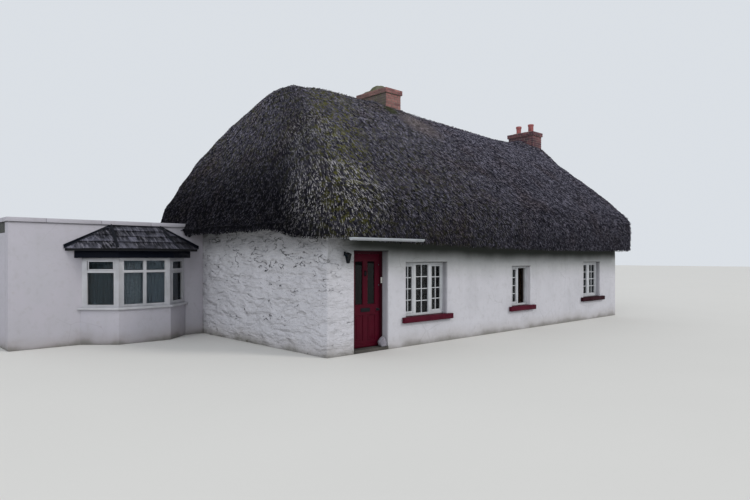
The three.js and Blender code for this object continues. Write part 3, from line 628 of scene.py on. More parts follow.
def straw_tree():
    measures = ("Stalks per square metre", "Stalk length", "Stalk width", "Lift", "Spread")
    tree, given = start_tree("lay_the_straw", [(name, "Float") for name in measures])
    kinds = {"downhill": "FLOAT_VECTOR", "combed": "FLOAT_VECTOR", "proud": "FLOAT"}
    stored = {name: add(tree, "GeometryNodeInputNamedAttribute", {"Name": name}, data_type=kind)
              for name, kind in kinds.items()}
    scatter = add(tree, "GeometryNodeDistributePointsOnFaces",
                  {"Mesh": given["Geometry"], "Density": given["Stalks per square metre"],
                   "Seed": given["Seed"]}).outputs
    lie = add(tree, "FunctionNodeAxesToRotation",
              {"Primary Axis": scatter["Normal"], "Secondary Axis": stored["downhill"]},
              primary_axis="Z", secondary_axis="X")

    # no stalk lies quite like its neighbour
    back = add(tree, MATH, [given["Spread"], -1.0], operation="MULTIPLY")
    yaw = add(tree, "FunctionNodeRandomValue", {0: back, 1: given["Spread"], "Seed": given["Seed"]},
              data_type="FLOAT")
    proud = add(tree, MATH, [stored["proud"], -1.0], operation="MULTIPLY")
    swing = add(tree, "ShaderNodeCombineXYZ", {"Y": proud, "Z": yaw})
    swing = add(tree, "FunctionNodeEulerToRotation", [swing])
    turned = add(tree, "FunctionNodeRotateRotation", [lie, swing], rotation_space="LOCAL")

    radius = add(tree, MATH, [given["Stalk width"], 0.5], operation="MULTIPLY")
    cone = add(tree, "GeometryNodeMeshCone", {"Vertices": 3, "Radius Top": 0.0, "Radius Bottom": radius,
                                              "Depth": given["Stalk length"]})
    tilt = add(tree, MATH, [-math.pi / 2, given["Lift"]], operation="SUBTRACT")
    tilt = add(tree, "ShaderNodeCombineXYZ", {"Y": tilt})
    reach = add(tree, MATH, [given["Stalk length"], 0.4], operation="MULTIPLY")
    reach = add(tree, "ShaderNodeCombineXYZ", {"X": reach, "Z": radius})
    stalk = add(tree, "GeometryNodeTransform", {"Geometry": cone, "Translation": reach, "Rotation": tilt})

    size = add(tree, "FunctionNodeRandomValue", {0: (0.6, 0.7, 0.7), 1: (1.3, 1.25, 1.2),
                                                 "Seed": given["Seed"]}, data_type="FLOAT_VECTOR")
    laid = add(tree, "GeometryNodeInstanceOnPoints", {"Points": scatter["Points"], "Instance": stalk,
                                                      "Rotation": turned, "Scale": size})
    # bundles weather alike, so part of a stalk's tone comes from where it lies
    alone = add(tree, "FunctionNodeRandomValue", {0: 0.0, 1: 1.0, "Seed": given["Seed"]},
                data_type="FLOAT")
    alone = add(tree, MATH, [alone, 3.6], operation="POWER")
    lie = add(tree, "ShaderNodeVectorMath", [stored["combed"], (19.0, 3.0, 1.0)], operation="MULTIPLY")
    bundle = add(tree, NOISE, [lie, 1.0, 3.0])
    bundle = add(tree, RANGE, [bundle, 0.36, 0.68, -0.05, 0.22])
    tone = add(tree, MATH, [alone, bundle], operation="ADD", use_clamp=True)
    return end_tree(tree, laid, tone, given["Finish"])


STRAW_TREE = straw_tree()
print("nodes in the straw tree:", len(STRAW_TREE.nodes))


# %% Run a tree on a bed mesh and keep the result as a plain mesh
def grown(name, bed, tree, values):
    """The mesh that a tree makes on a bed. Inputs are set by identifier before it first runs."""
    host = bpy.data.objects.new(name + "_bed", bed)
    bpy.context.scene.collection.objects.link(host)
    modifier = host.modifiers.new("grow", "NODES")
    modifier.node_group = tree
    for item in tree.interface.items_tree:
        if item.item_type == "SOCKET" and item.in_out == "INPUT" and item.name in values:
            modifier[item.identifier] = values[item.name]
    graph = bpy.context.evaluated_depsgraph_get()
    mesh = bpy.data.meshes.new_from_object(host.evaluated_get(graph), depsgraph=graph)
    mesh.name = name
    host.modifiers.remove(modifier)
    bpy.data.objects.remove(host)
    return mesh


def straw_bed(name, columns, rows):
    """Part of the coat as a bed for the straw, with the downhill direction at each point."""
    kept = [c * ROW + j for c in columns for j in rows]
    number = {old: new for new, old in enumerate(kept)}
    faces = [[number[i] for i in face] for face in coat_faces if all(i in number for i in face)]
    mesh = bpy.data.meshes.new(name)
    mesh.from_pydata([coat_points[i] + HOUSE_CORNER for i in kept], [], faces)
    carry(mesh, "downhill", "FLOAT_VECTOR", [
        (coat_points[i + 1] - coat_points[i - 1 if i % ROW else i]).normalized() for i in kept])
    carry(mesh, "combed", "FLOAT_VECTOR", [(*coat_uv[i], 0.0) for i in kept])
    # the ends stand out from the face of the eave, where the surface turns down and they do not
    carry(mesh, "proud", "FLOAT", [0.40 * (1 - smooth(coat_uv[i][1] / 0.5)) for i in kept])
    return mesh


ZONE = [zone for _, _, zone in STRANDS]
TOP_ROWS = range(0, len(STEPS_UP) + 1)
EAVE_ROWS = range(len(STEPS_UP) - 4, len(STEPS_UP) + 5)
print("rows on the slope:", len(TOP_ROWS), "rows at the eave:", len(EAVE_ROWS))

# %% Lay the straw zone by zone
BEDS = {
    "straw_front": ("front", TOP_ROWS, 800.0, 0.27, 0.016, 0.10, 0.16, 11),
    "straw_hip": ("hip", TOP_ROWS, 1250.0, 0.21, 0.016, 0.11, 0.20, 12),
    "straw_back": ("back", TOP_ROWS, 420.0, 0.27, 0.024, 0.10, 0.20, 13),
    "eave_straw": (None, EAVE_ROWS, 1500.0, 0.14, 0.016, 0.14, 0.26, 14),
}
for name, (zone, rows, density, length, width, lift, spread, seed) in BEDS.items():
    columns = [c for c, z in enumerate(ZONE) if zone is None or z == zone]
    if zone is not None:
        first, last = columns[0], columns[-1]
        columns = range(max(first - 1, 0), min(last + 2, len(ZONE)))
    bed = straw_bed(name + "_bed", columns, rows)
    values = {"Stalks per square metre": density, "Stalk length": length, "Stalk width": width,
              "Lift": lift, "Spread": spread, "Seed": seed, "Finish": loose_straw}
    straw = grown(name, bed, STRAW_TREE, values)
    hang_mesh(name, straw, loose_straw)
    print(name, "has", triangles(straw), "triangles")

# %% [markdown]
# ## Limewashed walls
#
# The walls are rubble stone, plastered and painted with limewash year after year until nothing
# is quite flat or straight. Plain boxes would catch the light like board, so the four outer
# walls are drawn again as one ring: a fine grid runs along the back, the end and the front, with
# the cells of each opening left out, and a second grid stands behind it at the inner face.
# Noise moves the outer grid a few millimetres in or out, more on the end wall, whose stones
# show through. Strips join the two grids round each opening, so the wall keeps its thickness,
# and the first strip is a soft arris instead of a knife edge.

# %% Where the columns of the grid stand
FRONT_OPENINGS = [(0.68, 1.61, 0.0, 2.02), (2.14, 3.49, 0.50, 1.78),
                  (6.09, 6.96, 0.50, 1.655), (9.88, 10.94, 0.56, 1.74)]
BACK_OPENINGS = [(2.60, 3.66, 0.56, 1.74), (8.30, 9.36, 0.56, 1.74)]
ROW_TOP = 2.75
ABOVE_OPENINGS = 2.10
ARRIS = 0.014
SPLAY_LEFT, SPLAY_RIGHT, SPLAY_FLARE, SPLAY_REACH = 6.09, 6.96, 0.426, 1.2
CELL_BACK, CELL_END, CELL_FRONT, CELL_UP = 0.12, 0.055, 0.06, 0.036


def grid_lines(low, high, spacing, fixed=()):
    """Lines from low to high, about evenly spaced, that include the fixed ones."""
    stops = sorted({low, high, *[f for f in fixed if low < f < high]})
    lines = [low]
    for a, b in zip(stops, stops[1:]):
        count = max(1, round((b - a) / spacing))
        lines += [a + (b - a) * i / count for i in range(1, count + 1)]
    return lines


def wall_columns():
    """(outer point, straight inner point, inner point, outward, openings) round the ring."""
    columns = []
    back_x = grid_lines(ARRIS, LENGTH, CELL_BACK, [x for o in BACK_OPENINGS for x in o[:2]])
    for x in reversed(back_x):
        inner = x if x >= 1 else 0.55 + 0.45 * x
        columns.append(((x, DEPTH), (inner, DEPTH - WALL), (inner, DEPTH - WALL), (0, 1), BACK_OPENINGS))
    for y in reversed(grid_lines(ARRIS, DEPTH - ARRIS, CELL_END)):
        inner = WALL + y * (DEPTH - 2 * WALL) / DEPTH
        columns.append(((0, y), (WALL, inner), (WALL, inner), (-1, 0), []))
    for x in grid_lines(ARRIS, LENGTH, CELL_FRONT, [x for o in FRONT_OPENINGS for x in o[:2]]):
        inner = x if x >= 0.68 else WALL + x / 0.68 * (0.68 - WALL)
        near_left = clamp(1 - (SPLAY_LEFT - x) / SPLAY_REACH, 0, 1) if x <= SPLAY_LEFT else 0
        near_right = clamp(1 - (x - SPLAY_RIGHT) / SPLAY_REACH, 0, 1) if x >= SPLAY_RIGHT else 0
        flared = inner + SPLAY_FLARE * (near_right - near_left)
        columns.append(((x, 0), (inner, WALL), (flared, WALL), (0, -1), FRONT_OPENINGS))
    return columns


COLUMNS = wall_columns()
SILLS_AND_HEADS = [z for opening in FRONT_OPENINGS for z in opening[2:]]
ROWS_UP = grid_lines(0, ROW_TOP, CELL_UP, [*SILLS_AND_HEADS, ABOVE_OPENINGS])
print("wall grid:", len(COLUMNS), "columns and", len(ROWS_UP), "rows")


# %% Stand the two grids up and join them
def under_straw(x, y, z):
    """Stretch the rows above the openings, so that the wall meets the underside of the straw."""
    if z <= ABOVE_OPENINGS:
        return z
    top = straw_height(x, y, rolled=False) - THATCH_HEIGHT - 0.02
    return ABOVE_OPENINGS + (z - ABOVE_OPENINGS) / (ROW_TOP - ABOVE_OPENINGS) * (top - ABOVE_OPENINGS)


def wall_relief(place, outward):
    """How far old plaster stands out or falls back at a place."""
    if outward == (0, -1):
        return 0.007 * noise.noise(place * 1.1) + 0.0035 * noise.noise(place * 5.0) - 0.002
    stones = wander(place.x * 3.0, place.y * 3.0, place.z * 6.5)
    return 0.014 * noise.noise(place * 0.9) + 0.010 * stones + 0.005 * noise.noise(place * 9.0) - 0.004


def present(c, r):
    """Whether a cell of the grid is wall rather than an opening."""
    if not (0 <= c < len(COLUMNS) - 1 and 0 <= r < len(ROWS_UP) - 1):
        return False
    if COLUMNS[c][3] != COLUMNS[c + 1][3]:
        return True
    middle = [(a + b) / 2 for a, b in zip(COLUMNS[c][0], COLUMNS[c + 1][0])]
    z = (ROWS_UP[r] + ROWS_UP[r + 1]) / 2
    return not any(x0 < middle[0] < x1 and z0 < z < z1 for x0, x1, z0, z1 in COLUMNS[c][4])


wall_form = bmesh.new()
LAYERS = (0.016, 0.13, 0.205)


def outer_vert(c, r):
    """A vert of the outer grid. At an opening it draws back from the edge by the arris."""
    (x, y), _, _, outward, _ = COLUMNS[c]
    z = ROWS_UP[r]
    cells = [(i, j) for i in (-1, 0) for j in (-1, 0) if present(c + i, r + j)]
    if 0 < len(cells) < 4 and 0 < c < len(COLUMNS) - 1:
        along = sum(1 if i == 0 else -1 for i, _ in cells)
        up = sum(1 if j == 0 else -1 for _, j in cells)
        step = ARRIS * ((along > 0) - (along < 0))
        x -= outward[1] * step
        y += outward[0] * step
        z += ARRIS * ((up > 0) - (up < 0)) * (z > 0)
    place = Vector((x, y, under_straw(x, y, z)))
    return wall_form.verts.new(place + Vector((*outward, 0)) * wall_relief(place, outward))


def inner_vert(c, r):
    x, y = COLUMNS[c][2]
    return wall_form.verts.new((x, y, under_straw(x, y, ROWS_UP[r])))


@cache
def rim_vert(c, r, depth):
    """A vert inside an opening, so far behind the wall's face. Each is made once."""
    x, y = Vector(COLUMNS[c][0]).lerp(Vector(COLUMNS[c][1]), depth / WALL)
    return wall_form.verts.new((x, y, under_straw(x, y, ROWS_UP[r])))


used = {(c + i, r + j) for c in range(len(COLUMNS)) for r in range(len(ROWS_UP)) if present(c, r)
        for i in (0, 1) for j in (0, 1)}
outer = {key: outer_vert(*key) for key in sorted(used)}
inner = {key: inner_vert(*key) for key in sorted(used)}
for c in range(len(COLUMNS) - 1):
    for r in range(len(ROWS_UP) - 1):
        if not present(c, r):
            continue
        loop = [(c, r), (c + 1, r), (c + 1, r + 1), (c, r + 1)]
        wall_form.faces.new([outer[key] for key in loop])
        wall_form.faces.new([inner[key] for key in reversed(loop)])
        beyond = [(c, r - 1), (c + 1, r), (c, r + 1), (c - 1, r)]
        for a, b, cell in zip(loop, loop[1:] + loop[:1], beyond):
            if present(*cell):
                continue
            strip = [(outer[a], outer[b])]
            strip += [(rim_vert(*a, d), rim_vert(*b, d)) for d in LAYERS]
            strip += [(inner[a], inner[b])]
            for (a0, b0), (a1, b1) in zip(strip, strip[1:]):
                wall_form.faces.new((b0, a0, a1, b1))
print("wall ring:", len(wall_form.faces), "faces,",
      sum(not edge.is_manifold for edge in wall_form.edges), "loose edges")

# %% [markdown]
# ## Limewash
#
# Limewash is slaked lime in water. It dries to a chalky white with no gloss at all, and it shows
# everything: rain streaks, a green-grey stain of algae under the dripping eave, darkened further
# with painted shade, splashed earth near the ground, hairline cracks, and dark lines of painted
# shade in the creases where the skin bridges the joints between stones. The end wall is painted
# lighter, as painted light, and the reveals, the faces that look down and the inner faces are
# darkened with painted shade. Each of these is a mask made from noise and height, laid over the
# white in turn. The same recipe serves the annex, which has a newer cement render, with less of
# each.

# %% Limewash and render
def limewashed(name, wash, rubble, cracks, eave_height, bumps):
    material, tree, shader, place = start_material(name)
    x, y, z = add(tree, "ShaderNodeSeparateXYZ", [place]).outputs
    normal = add(tree, "ShaderNodeNewGeometry").outputs["True Normal"]
    facing_x, _, facing_z = add(tree, "ShaderNodeSeparateXYZ", [normal]).outputs
    cloud = {}
    for what, scale, detail, stretch, rough in (
            ("thin wash", 1.4, 4.0, (1, 1, 1), 0.55), ("thinner wash", 9.0, 6.0, (1, 1, 1), 0.55),
            ("streaks", 1.0, 5.0, (5, 5, 0.45), 0.55), ("flakes", 5.0, 8.0, (1, 1, 1), 0.7),
            ("broken", 3.6, 5.0, (1, 1, 1.6), 0.55), ("specks", 34.0, 4.0, (1, 1, 1.5), 0.6),
            ("cracked", 0.8, 4.0, (1, 1, 1), 0.55), ("ragged", 1.3, 4.0, (1, 1, 0.8), 0.55),
            ("lumps", 6.0, 6.0, (1, 1, 1), 0.55), ("grain", 60.0, 3.0, (1, 1, 1), 0.55)):
        lie = add(tree, MAPPING, {"Vector": place, "Scale": stretch})
        cloud[what] = add(tree, NOISE, [lie, scale, detail, rough])

    # the skin sags between the stones in wide, flat wrinkles: the end wall shows them best, and
    # the front only beside the door
    on_end = mask(tree, 1.0, (facing_x, -0.75, -0.9, 0.0, 1.0), (x, -5.7, -5.9, 0.0, 1.0))
    by_door = add(tree, RANGE, [x, -5.0, -5.5, 0.04, 0.6], **SOFT)
    stony = add(tree, MATH, [on_end, by_door], operation="MAXIMUM")
    stony = add(tree, MATH, [stony, rubble], operation="MULTIPLY")
    warp = add(tree, NOISE, [place, 1.7, 3.0]).outputs[1]
    shaken = add(tree, MIX, [0.16, place, warp], data_type="VECTOR")
    flat = add(tree, MAPPING, {"Vector": shaken, "Scale": (1.0, 1.0, 2.9)})
    sag = add(tree, NOISE, [flat, 2.6, 5.0])
    off = add(tree, MATH, [sag, 0.5], operation="SUBTRACT")
    off = add(tree, MATH, [off], operation="ABSOLUTE")
    higher = add(tree, RANGE, [z, 0.6, 2.3, -0.045, 0.06], **SOFT)
    broken = add(tree, MATH, [cloud["broken"], higher], operation="ADD")
    wrinkle = mask(tree, stony, (off, 0.004, 0.018, 1.0, 0.0), (broken, 0.535, 0.605, 0.0, 1.0))
    # painted shade: the wrinkles are painted dark in their creases
    dark = add(tree, MATH, [wrinkle, 0.95], operation="MULTIPLY")
    # painted light: the end wall is painted lighter than the front
    end_wall_painted_light = add(tree, MATH, [on_end, 0.45 * rubble], operation="MULTIPLY")

    # hairline cracks
    thin = add(tree, "ShaderNodeTexVoronoi", {"Vector": shaken, "Scale": 1.6}, feature="DISTANCE_TO_EDGE")
    crack = mask(tree, 1.0, (thin, 0.0, 0.012, 1.0, 0.0), (cloud["cracked"], 0.5, 0.58, 0.0, cracks))

    # the eave drops towards the right. Under it the wall is painted with algae and with painted shade,
    # least on the end wall, at the corner and, having no eave, on the party wall, where it drips least
    ragged = add(tree, RANGE, [cloud["ragged"], 0.3, 0.7, -0.06, 0.06], **SOFT)
    height = add(tree, MATH, [z, ragged], operation="ADD")
    eave = add(tree, RANGE, [x, -6.0, -0.5, eave_height, eave_height - 0.16])
    drip = add(tree, MATH, [ragged, 0.35, z], operation="MULTIPLY_ADD")
    below = add(tree, MATH, [drip, eave], operation="SUBTRACT")
    eave_algae_and_shade = mask(tree, 1.0, (on_end, 0.0, 1.0, 1.0, 0.28), (x, -5.95, -5.1, 0.35, 1.0))
    eave_algae_and_shade = add(tree, MATH, [eave_algae_and_shade, 0.28], operation="MAXIMUM")
    eave_algae_and_shade = mask(tree, eave_algae_and_shade, (facing_x, 0.5, 0.8, 1.0, 0.0))

    colour = coated(
        tree, linear(wash),
        # cloudy wash, thinner in places, rain streaks, and worn flakes where old coats show
        ("#a3a3a7", 1.0, (cloud["thin wash"], 0.42, 0.68, 0.0, 0.3)),
        ("#918f8d", 1.0, (cloud["thinner wash"], 0.5, 0.75, 0.0, 0.22)),
        ("#8b8a86", 1.0, (cloud["streaks"], 0.52, 0.74, 0.0, 0.10)),
        ("#9a948c", 1.0, (cloud["flakes"], 0.61, 0.67, 0.0, 0.2)),
        # painted light on the end wall, then dark wrinkles of painted shade, grit and cracks
        ("#c3c2c7", end_wall_painted_light), ("#232224", dark),
        ("#6d6c70", stony, (cloud["specks"], 0.56, 0.67, 0.0, 0.6)),
        ("#55524c", crack),
        # algae and painted shade under the eave, and splashed earth at the foot
        ("#6f756c", eave_algae_and_shade, (below, -0.86, -0.18, 0.0, 0.55)),
        ("#262a25", eave_algae_and_shade, (below, -0.34, -0.06, 0.0, 0.95)),
        ("#857b6e", 1.0, (height, 0.36, 0.02, 0.0, 0.32)),
        ("#4d4c3c", 1.0, (height, 0.14, -0.04, 0.0, 0.6)),
        # painted shade, with soot and cobwebs, on faces that look down, as over each window
        ("#1b1a19", 1.0, (facing_z, -0.4, -0.75, 0.0, 0.9)),
        # painted shade darkens the reveals, and one jamb of the second window is painted lighter
        ("#605f68", 0.36 * rubble, (y, -3.372, -3.33, 0.0, 1.0), (x, -5.9, -5.8, 0.0, 1.0)),
        ("#d8d7da", 0.8 * rubble, (facing_x, -0.5, -0.8, 0.0, 1.0), (y, -3.415, -3.405, 0.0, 1.0),
         (x, 0.93, 0.95, 0.0, 1.0), (x, 0.99, 0.97, 0.0, 1.0), (y, -3.22, -3.26, 0.0, 1.0)),
        # painted shade: the inner faces are painted near black, so the rooms behind read as dark
        ("#26221f", rubble, (x, -5.62, -5.55, 0.0, 1.0), (x, 5.9, 5.8, 0.0, 1.0),
         (y, -3.24, -3.20, 0.0, 1.0), (y, 3.24, 3.20, 0.0, 1.0)))

    # relief: lumpy plaster, stones, wrinkles, sunk cracks and grain, each laid on the last
    whole, uncracked = [add(tree, RANGE, [line, 0.0, 1.0, 1.0, 0.0], **SOFT) for line in (wrinkle, crack)]
    relief = None
    for strength, distance, height in ((0.7 * bumps, 0.02, cloud["lumps"]), (stony, 0.21, sag),
                                       (0.8, 0.012, whole), (0.6, 0.004, uncracked),
                                       (0.35 * bumps, 0.004, cloud["grain"])):
        under = {"Normal": relief} if relief else {}
        relief = add(tree, BUMP, {"Strength": strength, "Distance": distance, "Height": height, **under})
    fill(shader, {"Base Color": colour, "Roughness": 0.94, "Specular IOR Level": 0.2, "Normal": relief})
    return material


limewash = limewashed("Limewash_brushed_over_rubble_stone", "#bcbbc0", rubble=1.0, cracks=0.25,
                      eave_height=2.24, bumps=1.0)
render_coat = limewashed("Cement_render_masonry_paint_rolled", "#aca9b0", rubble=0.0, cracks=0.15,
                         eave_height=3.4, bumps=0.5)
ring = set_piece("limewashed_walls", wall_form, limewash, crease=38,
                 stands_for=("front_wall_left", "front_wall_over_door", "front_wall_right",
                             "end_wall", "back_wall"))
print("wall triangles:", triangles(ring.data))

# %% [markdown]
# ## Bricks
#
# Both chimneys are built of ordinary clay bricks, 215 by 65 mm on the face, with 10 mm joints.
# The plain stacks stay where they are as the mortar, and bricks are set into them so that
# they stand 7 mm proud. There are hundreds, all the same but for a little colour, which is work
# for Geometry Nodes again: one bevelled brick, and a list of points that say where each goes,
# how it is turned and how long it is cut. The list is laid out like a bricklayer's courses, each
# starting half a brick along from the one below.

# %% Lay out the courses
BRICK_LENGTH, BRICK_HEIGHT, BRICK_DEPTH, JOINT = 0.215, 0.065, 0.06, 0.010
PROUD, BAND_REACH = 0.007, 0.035


def brick_course(places, x0, x1, y0, y1, z, height, shift):
    """One course round a rectangle: (middle of the brick's face, turn, length, height)."""
    corners = [(x0, y0), (x1, y0), (x1, y1), (x0, y1)]
    for quarter, (ax, ay) in enumerate(corners):
        bx, by = corners[(quarter + 1) % 4]
        run = math.hypot(bx - ax, by - ay)
        stops = [0.0]
        reach = (BRICK_LENGTH + JOINT) * (0.5 if (shift + quarter) % 2 else 1.0)
        while reach < run - 0.06:
            stops.append(reach)
            reach += BRICK_LENGTH + JOINT
        stops.append(run + JOINT)
        for s, e in zip(stops, stops[1:]):
            middle = (s + e - JOINT) / 2 / run
            places.append((ax + (bx - ax) * middle, ay + (by - ay) * middle, z,
                           quarter * math.pi / 2, e - s - JOINT, height))


def stack_courses(x0, x1, y0, y1, low, top, band_low):
    """Every course of a stack, and above them the two taller ones of its band."""
    course = BRICK_HEIGHT + JOINT
    tall = (top - band_low) / 2
    rows = [(band_low - (i + 0.5) * course, BRICK_HEIGHT, PROUD, i)
            for i in range(int((band_low - low) / course))]
    rows += [(band_low + (i + 0.5) * tall + 0.002, tall - 0.006, BAND_REACH + PROUD, i) for i in range(2)]
    places = []
    for z, height, out, shift in rows:
        brick_course(places, x0 - out, x1 + out, y0 - out, y1 + out, z, height, shift)
    return places


BAND_LEFT, BAND_RIGHT = 6.415, 6.235
left_places = stack_courses(*LEFT_STACK, 5.4, 6.55, BAND_LEFT)
right_places = stack_courses(*RIGHT_STACK, 5.2, 6.37, BAND_RIGHT)
print("bricks:", len(left_places), "on the left stack,", len(right_places), "on the right")


# %% One brick, and the tree that sets it
def one_brick():
    """A whole brick with worn edges. The tree scales it to the length that it is cut to."""
    form = bmesh.new()
    bmesh.ops.create_cube(form, size=1.0)
    for vert in form.verts:
        vert.co.y = (vert.co.y + 0.5) * BRICK_DEPTH
        vert.co.x *= BRICK_LENGTH
        vert.co.z *= BRICK_HEIGHT
    bmesh.ops.bevel(form, geom=form.edges, offset=0.005, segments=1, profile=0.5, affect="EDGES")
    return mesh_of("one_brick", form)


def brick_tree(template):
    tree, given = start_tree("set_the_bricks", [])
    points = add(tree, "GeometryNodeMeshToPoints", {"Mesh": given["Geometry"]})
    brick = add(tree, "GeometryNodeObjectInfo", {"Object": template}).outputs["Geometry"]
    turn, cut = [add(tree, "GeometryNodeInputNamedAttribute", {"Name": name}, data_type="FLOAT_VECTOR")
                 for name in ("turn", "cut")]
    turned = add(tree, "FunctionNodeEulerToRotation", [turn])
    laid = add(tree, "GeometryNodeInstanceOnPoints", {"Points": points, "Instance": brick,
                                                      "Rotation": turned, "Scale": cut})
    tone = add(tree, "FunctionNodeRandomValue", {0: 0.0, 1: 1.0, "Seed": given["Seed"]},
               data_type="FLOAT")
    return end_tree(tree, laid, tone, given["Finish"])


def brick_bed(name, places):
    """A bed of loose points that carry each brick's turn and cut."""
    mesh = bpy.data.meshes.new(name)
    mesh.from_pydata([Vector(p[:3]) + HOUSE_CORNER for p in places], [], [])
    carry(mesh, "turn", "FLOAT_VECTOR", [
        (0.006 * noise.noise(Vector(p[:3]) * 9), 0, p[3] + 0.01 * noise.noise(Vector(p[:3]) * 7))
        for p in places])
    carry(mesh, "cut", "FLOAT_VECTOR", [(p[4] / BRICK_LENGTH, 1.0, p[5] / BRICK_HEIGHT) for p in places])
    return mesh


print("brick triangles each:", triangles(one_brick()))

# %% [markdown]
# ## Brick and mortar
#
# Fired clay varies from brick to brick, so each takes its colour from a random tone that the
# tree stored on it. The left chimney is orange red on the side that the rain washes, and grey
# and mossy on the other. The right one, by the party wall, is older and blackened by smoke to a
# purple brown. Mortar is a coarse pale brown grit.

# %% Brick, mortar and moss materials
def brick_material(name, pale, deep, grime, grime_colour, moss, cover, band):
    material, tree, shader, place = start_material(name)
    tone = add(tree, "ShaderNodeAttribute", attribute_name="tone").outputs["Fac"]
    fog = add(tree, NOISE, [place, 14.0, 5.0])
    both = add(tree, MATH, [tone, fog], operation="MULTIPLY")
    spread = add(tree, RANGE, [both, 0.05, 0.55])
    colour = add(tree, MIX, [spread, linear(deep), linear(pale)], data_type="RGBA")
    # soot and lichen lie more on the side that the sun leaves, and less on the two courses of
    # the band, which stand proud and are washed cleaner
    height = add(tree, "ShaderNodeSeparateXYZ", [place]).outputs[2]
    normal = add(tree, "ShaderNodeNewGeometry").outputs["Normal"]
    facing = add(tree, "ShaderNodeSeparateXYZ", [normal]).outputs[0]
    shaded = mask(tree, 1.0, (facing, 0.0, -0.7, 0.25, 1.0), (height, band - 0.01, band + 0.01, 1.0, 0.5),
                  soft=False)
    patch = add(tree, NOISE, [place, 5.0, 6.0, 0.65])
    colour = coated(tree, colour, (grime_colour, shaded, (patch, *cover, 0.0, grime)),
                    ("#5c5e3d", shaded, (patch, 0.6, 0.68, 0.0, moss)), soft=False)
    pits = add(tree, NOISE, [place, 90.0, 4.0])
    bump = add(tree, BUMP, {"Strength": 0.6, "Distance": 0.004, "Height": pits})
    fill(shader, {"Base Color": colour, "Roughness": 0.9, "Normal": bump})
    return material


def earthy(name, main, second, third, scale=6.0, relief=0.01, cover=(0.55, 0.7)):
    """A rough natural finish: two colours in clouds and a third in patches, with some relief."""
    material, tree, shader, place = start_material(name)
    cloud = add(tree, NOISE, [place, scale, 6.0])
    patch = add(tree, NOISE, [place, scale * 2.3, 7.0, 0.65])
    fine = add(tree, NOISE, [place, scale * 9.0, 5.0])
    colour = coated(tree, linear(main), (second, 1.0, (cloud, 0.35, 0.65, 0.0, 1.0)),
                    (third, 1.0, (patch, *cover, 0.0, 0.85)), soft=False)
    bump = add(tree, BUMP, {"Strength": 0.8, "Distance": relief, "Height": fine})
    fill(shader, {"Base Color": colour, "Roughness": 0.9, "Normal": bump})
    return material


red_brick = brick_material("Red_clay_brick_wire_cut", "#a06e68", "#73484a", 0.95, "#5b5550", 0.8,
                           cover=(0.24, 0.46), band=BAND_LEFT)
smoked_brick = brick_material("Smoked_clay_brick_wire_cut", "#7a4c4e", "#4e3039", 0.6, "#3d3642", 0.3,
                              cover=(0.36, 0.6), band=BAND_RIGHT)
mortar = earthy("Lime_mortar_trowelled", "#8d8378", "#6c645b", "#4e4f3c")
mossy_mortar = earthy("Mossy_mortar_weathered", "#6d675b", "#4a4a3c", "#565c30", cover=(0.45, 0.6))

template = bpy.data.objects.new("one_brick", one_brick())
BRICK_TREE = brick_tree(template)
for name, places, finish in (("bricks_left", left_places, red_brick),
                             ("bricks_right", right_places, smoked_brick)):
    bricks = grown(name, brick_bed(name + "_bed", places), BRICK_TREE, {"Finish": finish, "Seed": 3})
    hang_mesh(name, bricks, finish, crease=35)
    print(name, "has", triangles(bricks), "triangles")
bpy.data.objects.remove(template)

# %% [markdown]
# ## Crowns and pots
#
# Mortar is heaped round the top of a chimney to shed the rain and to hold the pots. The left
# stack has lost its pots, and its heap has grown a cap of moss and grit. The two pots on the
# right are thrown clay, one straight and one flared, with a rolled rim. A heap is a small
# height field over the top of the stack, and a pot is a profile turned round its axis.

# %% Heap the mortar and turn the pots
def heap(name, x0, x1, y0, y1, base, height_at, material, stands_for=()):
    """A closed mound over a rectangle, whose height comes from a function."""
    form = bmesh.new()
    steps = [i / HEAP_CELLS for i in range(HEAP_CELLS + 1)]
    skin(form, [[form.verts.new((x0 + (x1 - x0) * u, y0 + (y1 - y0) * v, base + height_at(u, v)))
                 for u in steps] for v in steps], closed=False)
    rim = [edge for edge in form.edges if edge.is_boundary]
    dropped = bmesh.ops.extrude_edge_only(form, edges=rim)["geom"]
    for vert in [g for g in dropped if isinstance(g, bmesh.types.BMVert)]:
        vert.co.z = base - 0.004
    rest = [edge for edge in form.edges if edge.is_boundary]
    bmesh.ops.contextual_create(form, geom=rest)
    bmesh.ops.recalc_face_normals(form, faces=form.faces)
    set_piece(name, form, material, stands_for=stands_for, crease=60)


def crown_height(u, v):
    edge = smooth(min(u, 1 - u) * 5) * smooth(min(v, 1 - v) * 8)
    # a flat-topped lump stands where the pots were, with a long flank behind it
    away = math.hypot((u - 0.5) / 0.30, (v - 0.52) / 0.20)
    mound = 0.150 * (1 - smooth((away - 0.7) / 0.7)) + 0.05 * math.exp(-((v - 0.78) / 0.12) ** 2)
    rough = 0.018 * wander(u * 6, v * 11, 0.3)
    rough += 0.008 * wander(u * 20, v * 35, 1)
    return 0.006 + edge * (0.03 + mound + rough)


def bed_height(u, v):
    edge = smooth(min(u, 1 - u) * 4) * smooth(min(v, 1 - v) * 6)
    rough = wander(u * 9, v * 14, 4.0) * 0.012
    return 0.004 + edge * (0.045 + rough)


HEAP_CELLS = 26
heap("chimney_left_heap", 4.31, 4.89, 2.86, 4.03, 6.552, crown_height, mossy_mortar, ("chimney_left_crown",))
heap("chimney_right_bed", *RIGHT_STACK, 6.372, bed_height, mortar)


def turned(name, profile, x, y, stands_for):
    """A clay pot: a closed profile of (radius, height) turned round an upright axis."""
    form = bmesh.new()
    rings = []
    for k in range(POT_STEPS):
        c, s = math.cos(2 * math.pi * k / POT_STEPS), math.sin(2 * math.pi * k / POT_STEPS)
        rings.append([form.verts.new((x + r * c, y + r * s, z)) for r, z in profile])
    skin(form, [*rings, rings[0]])
    bmesh.ops.remove_doubles(form, verts=form.verts, dist=0.00005)
    bmesh.ops.recalc_face_normals(form, faces=form.faces)
    set_piece(name, form, terracotta, stands_for=stands_for, crease=45)


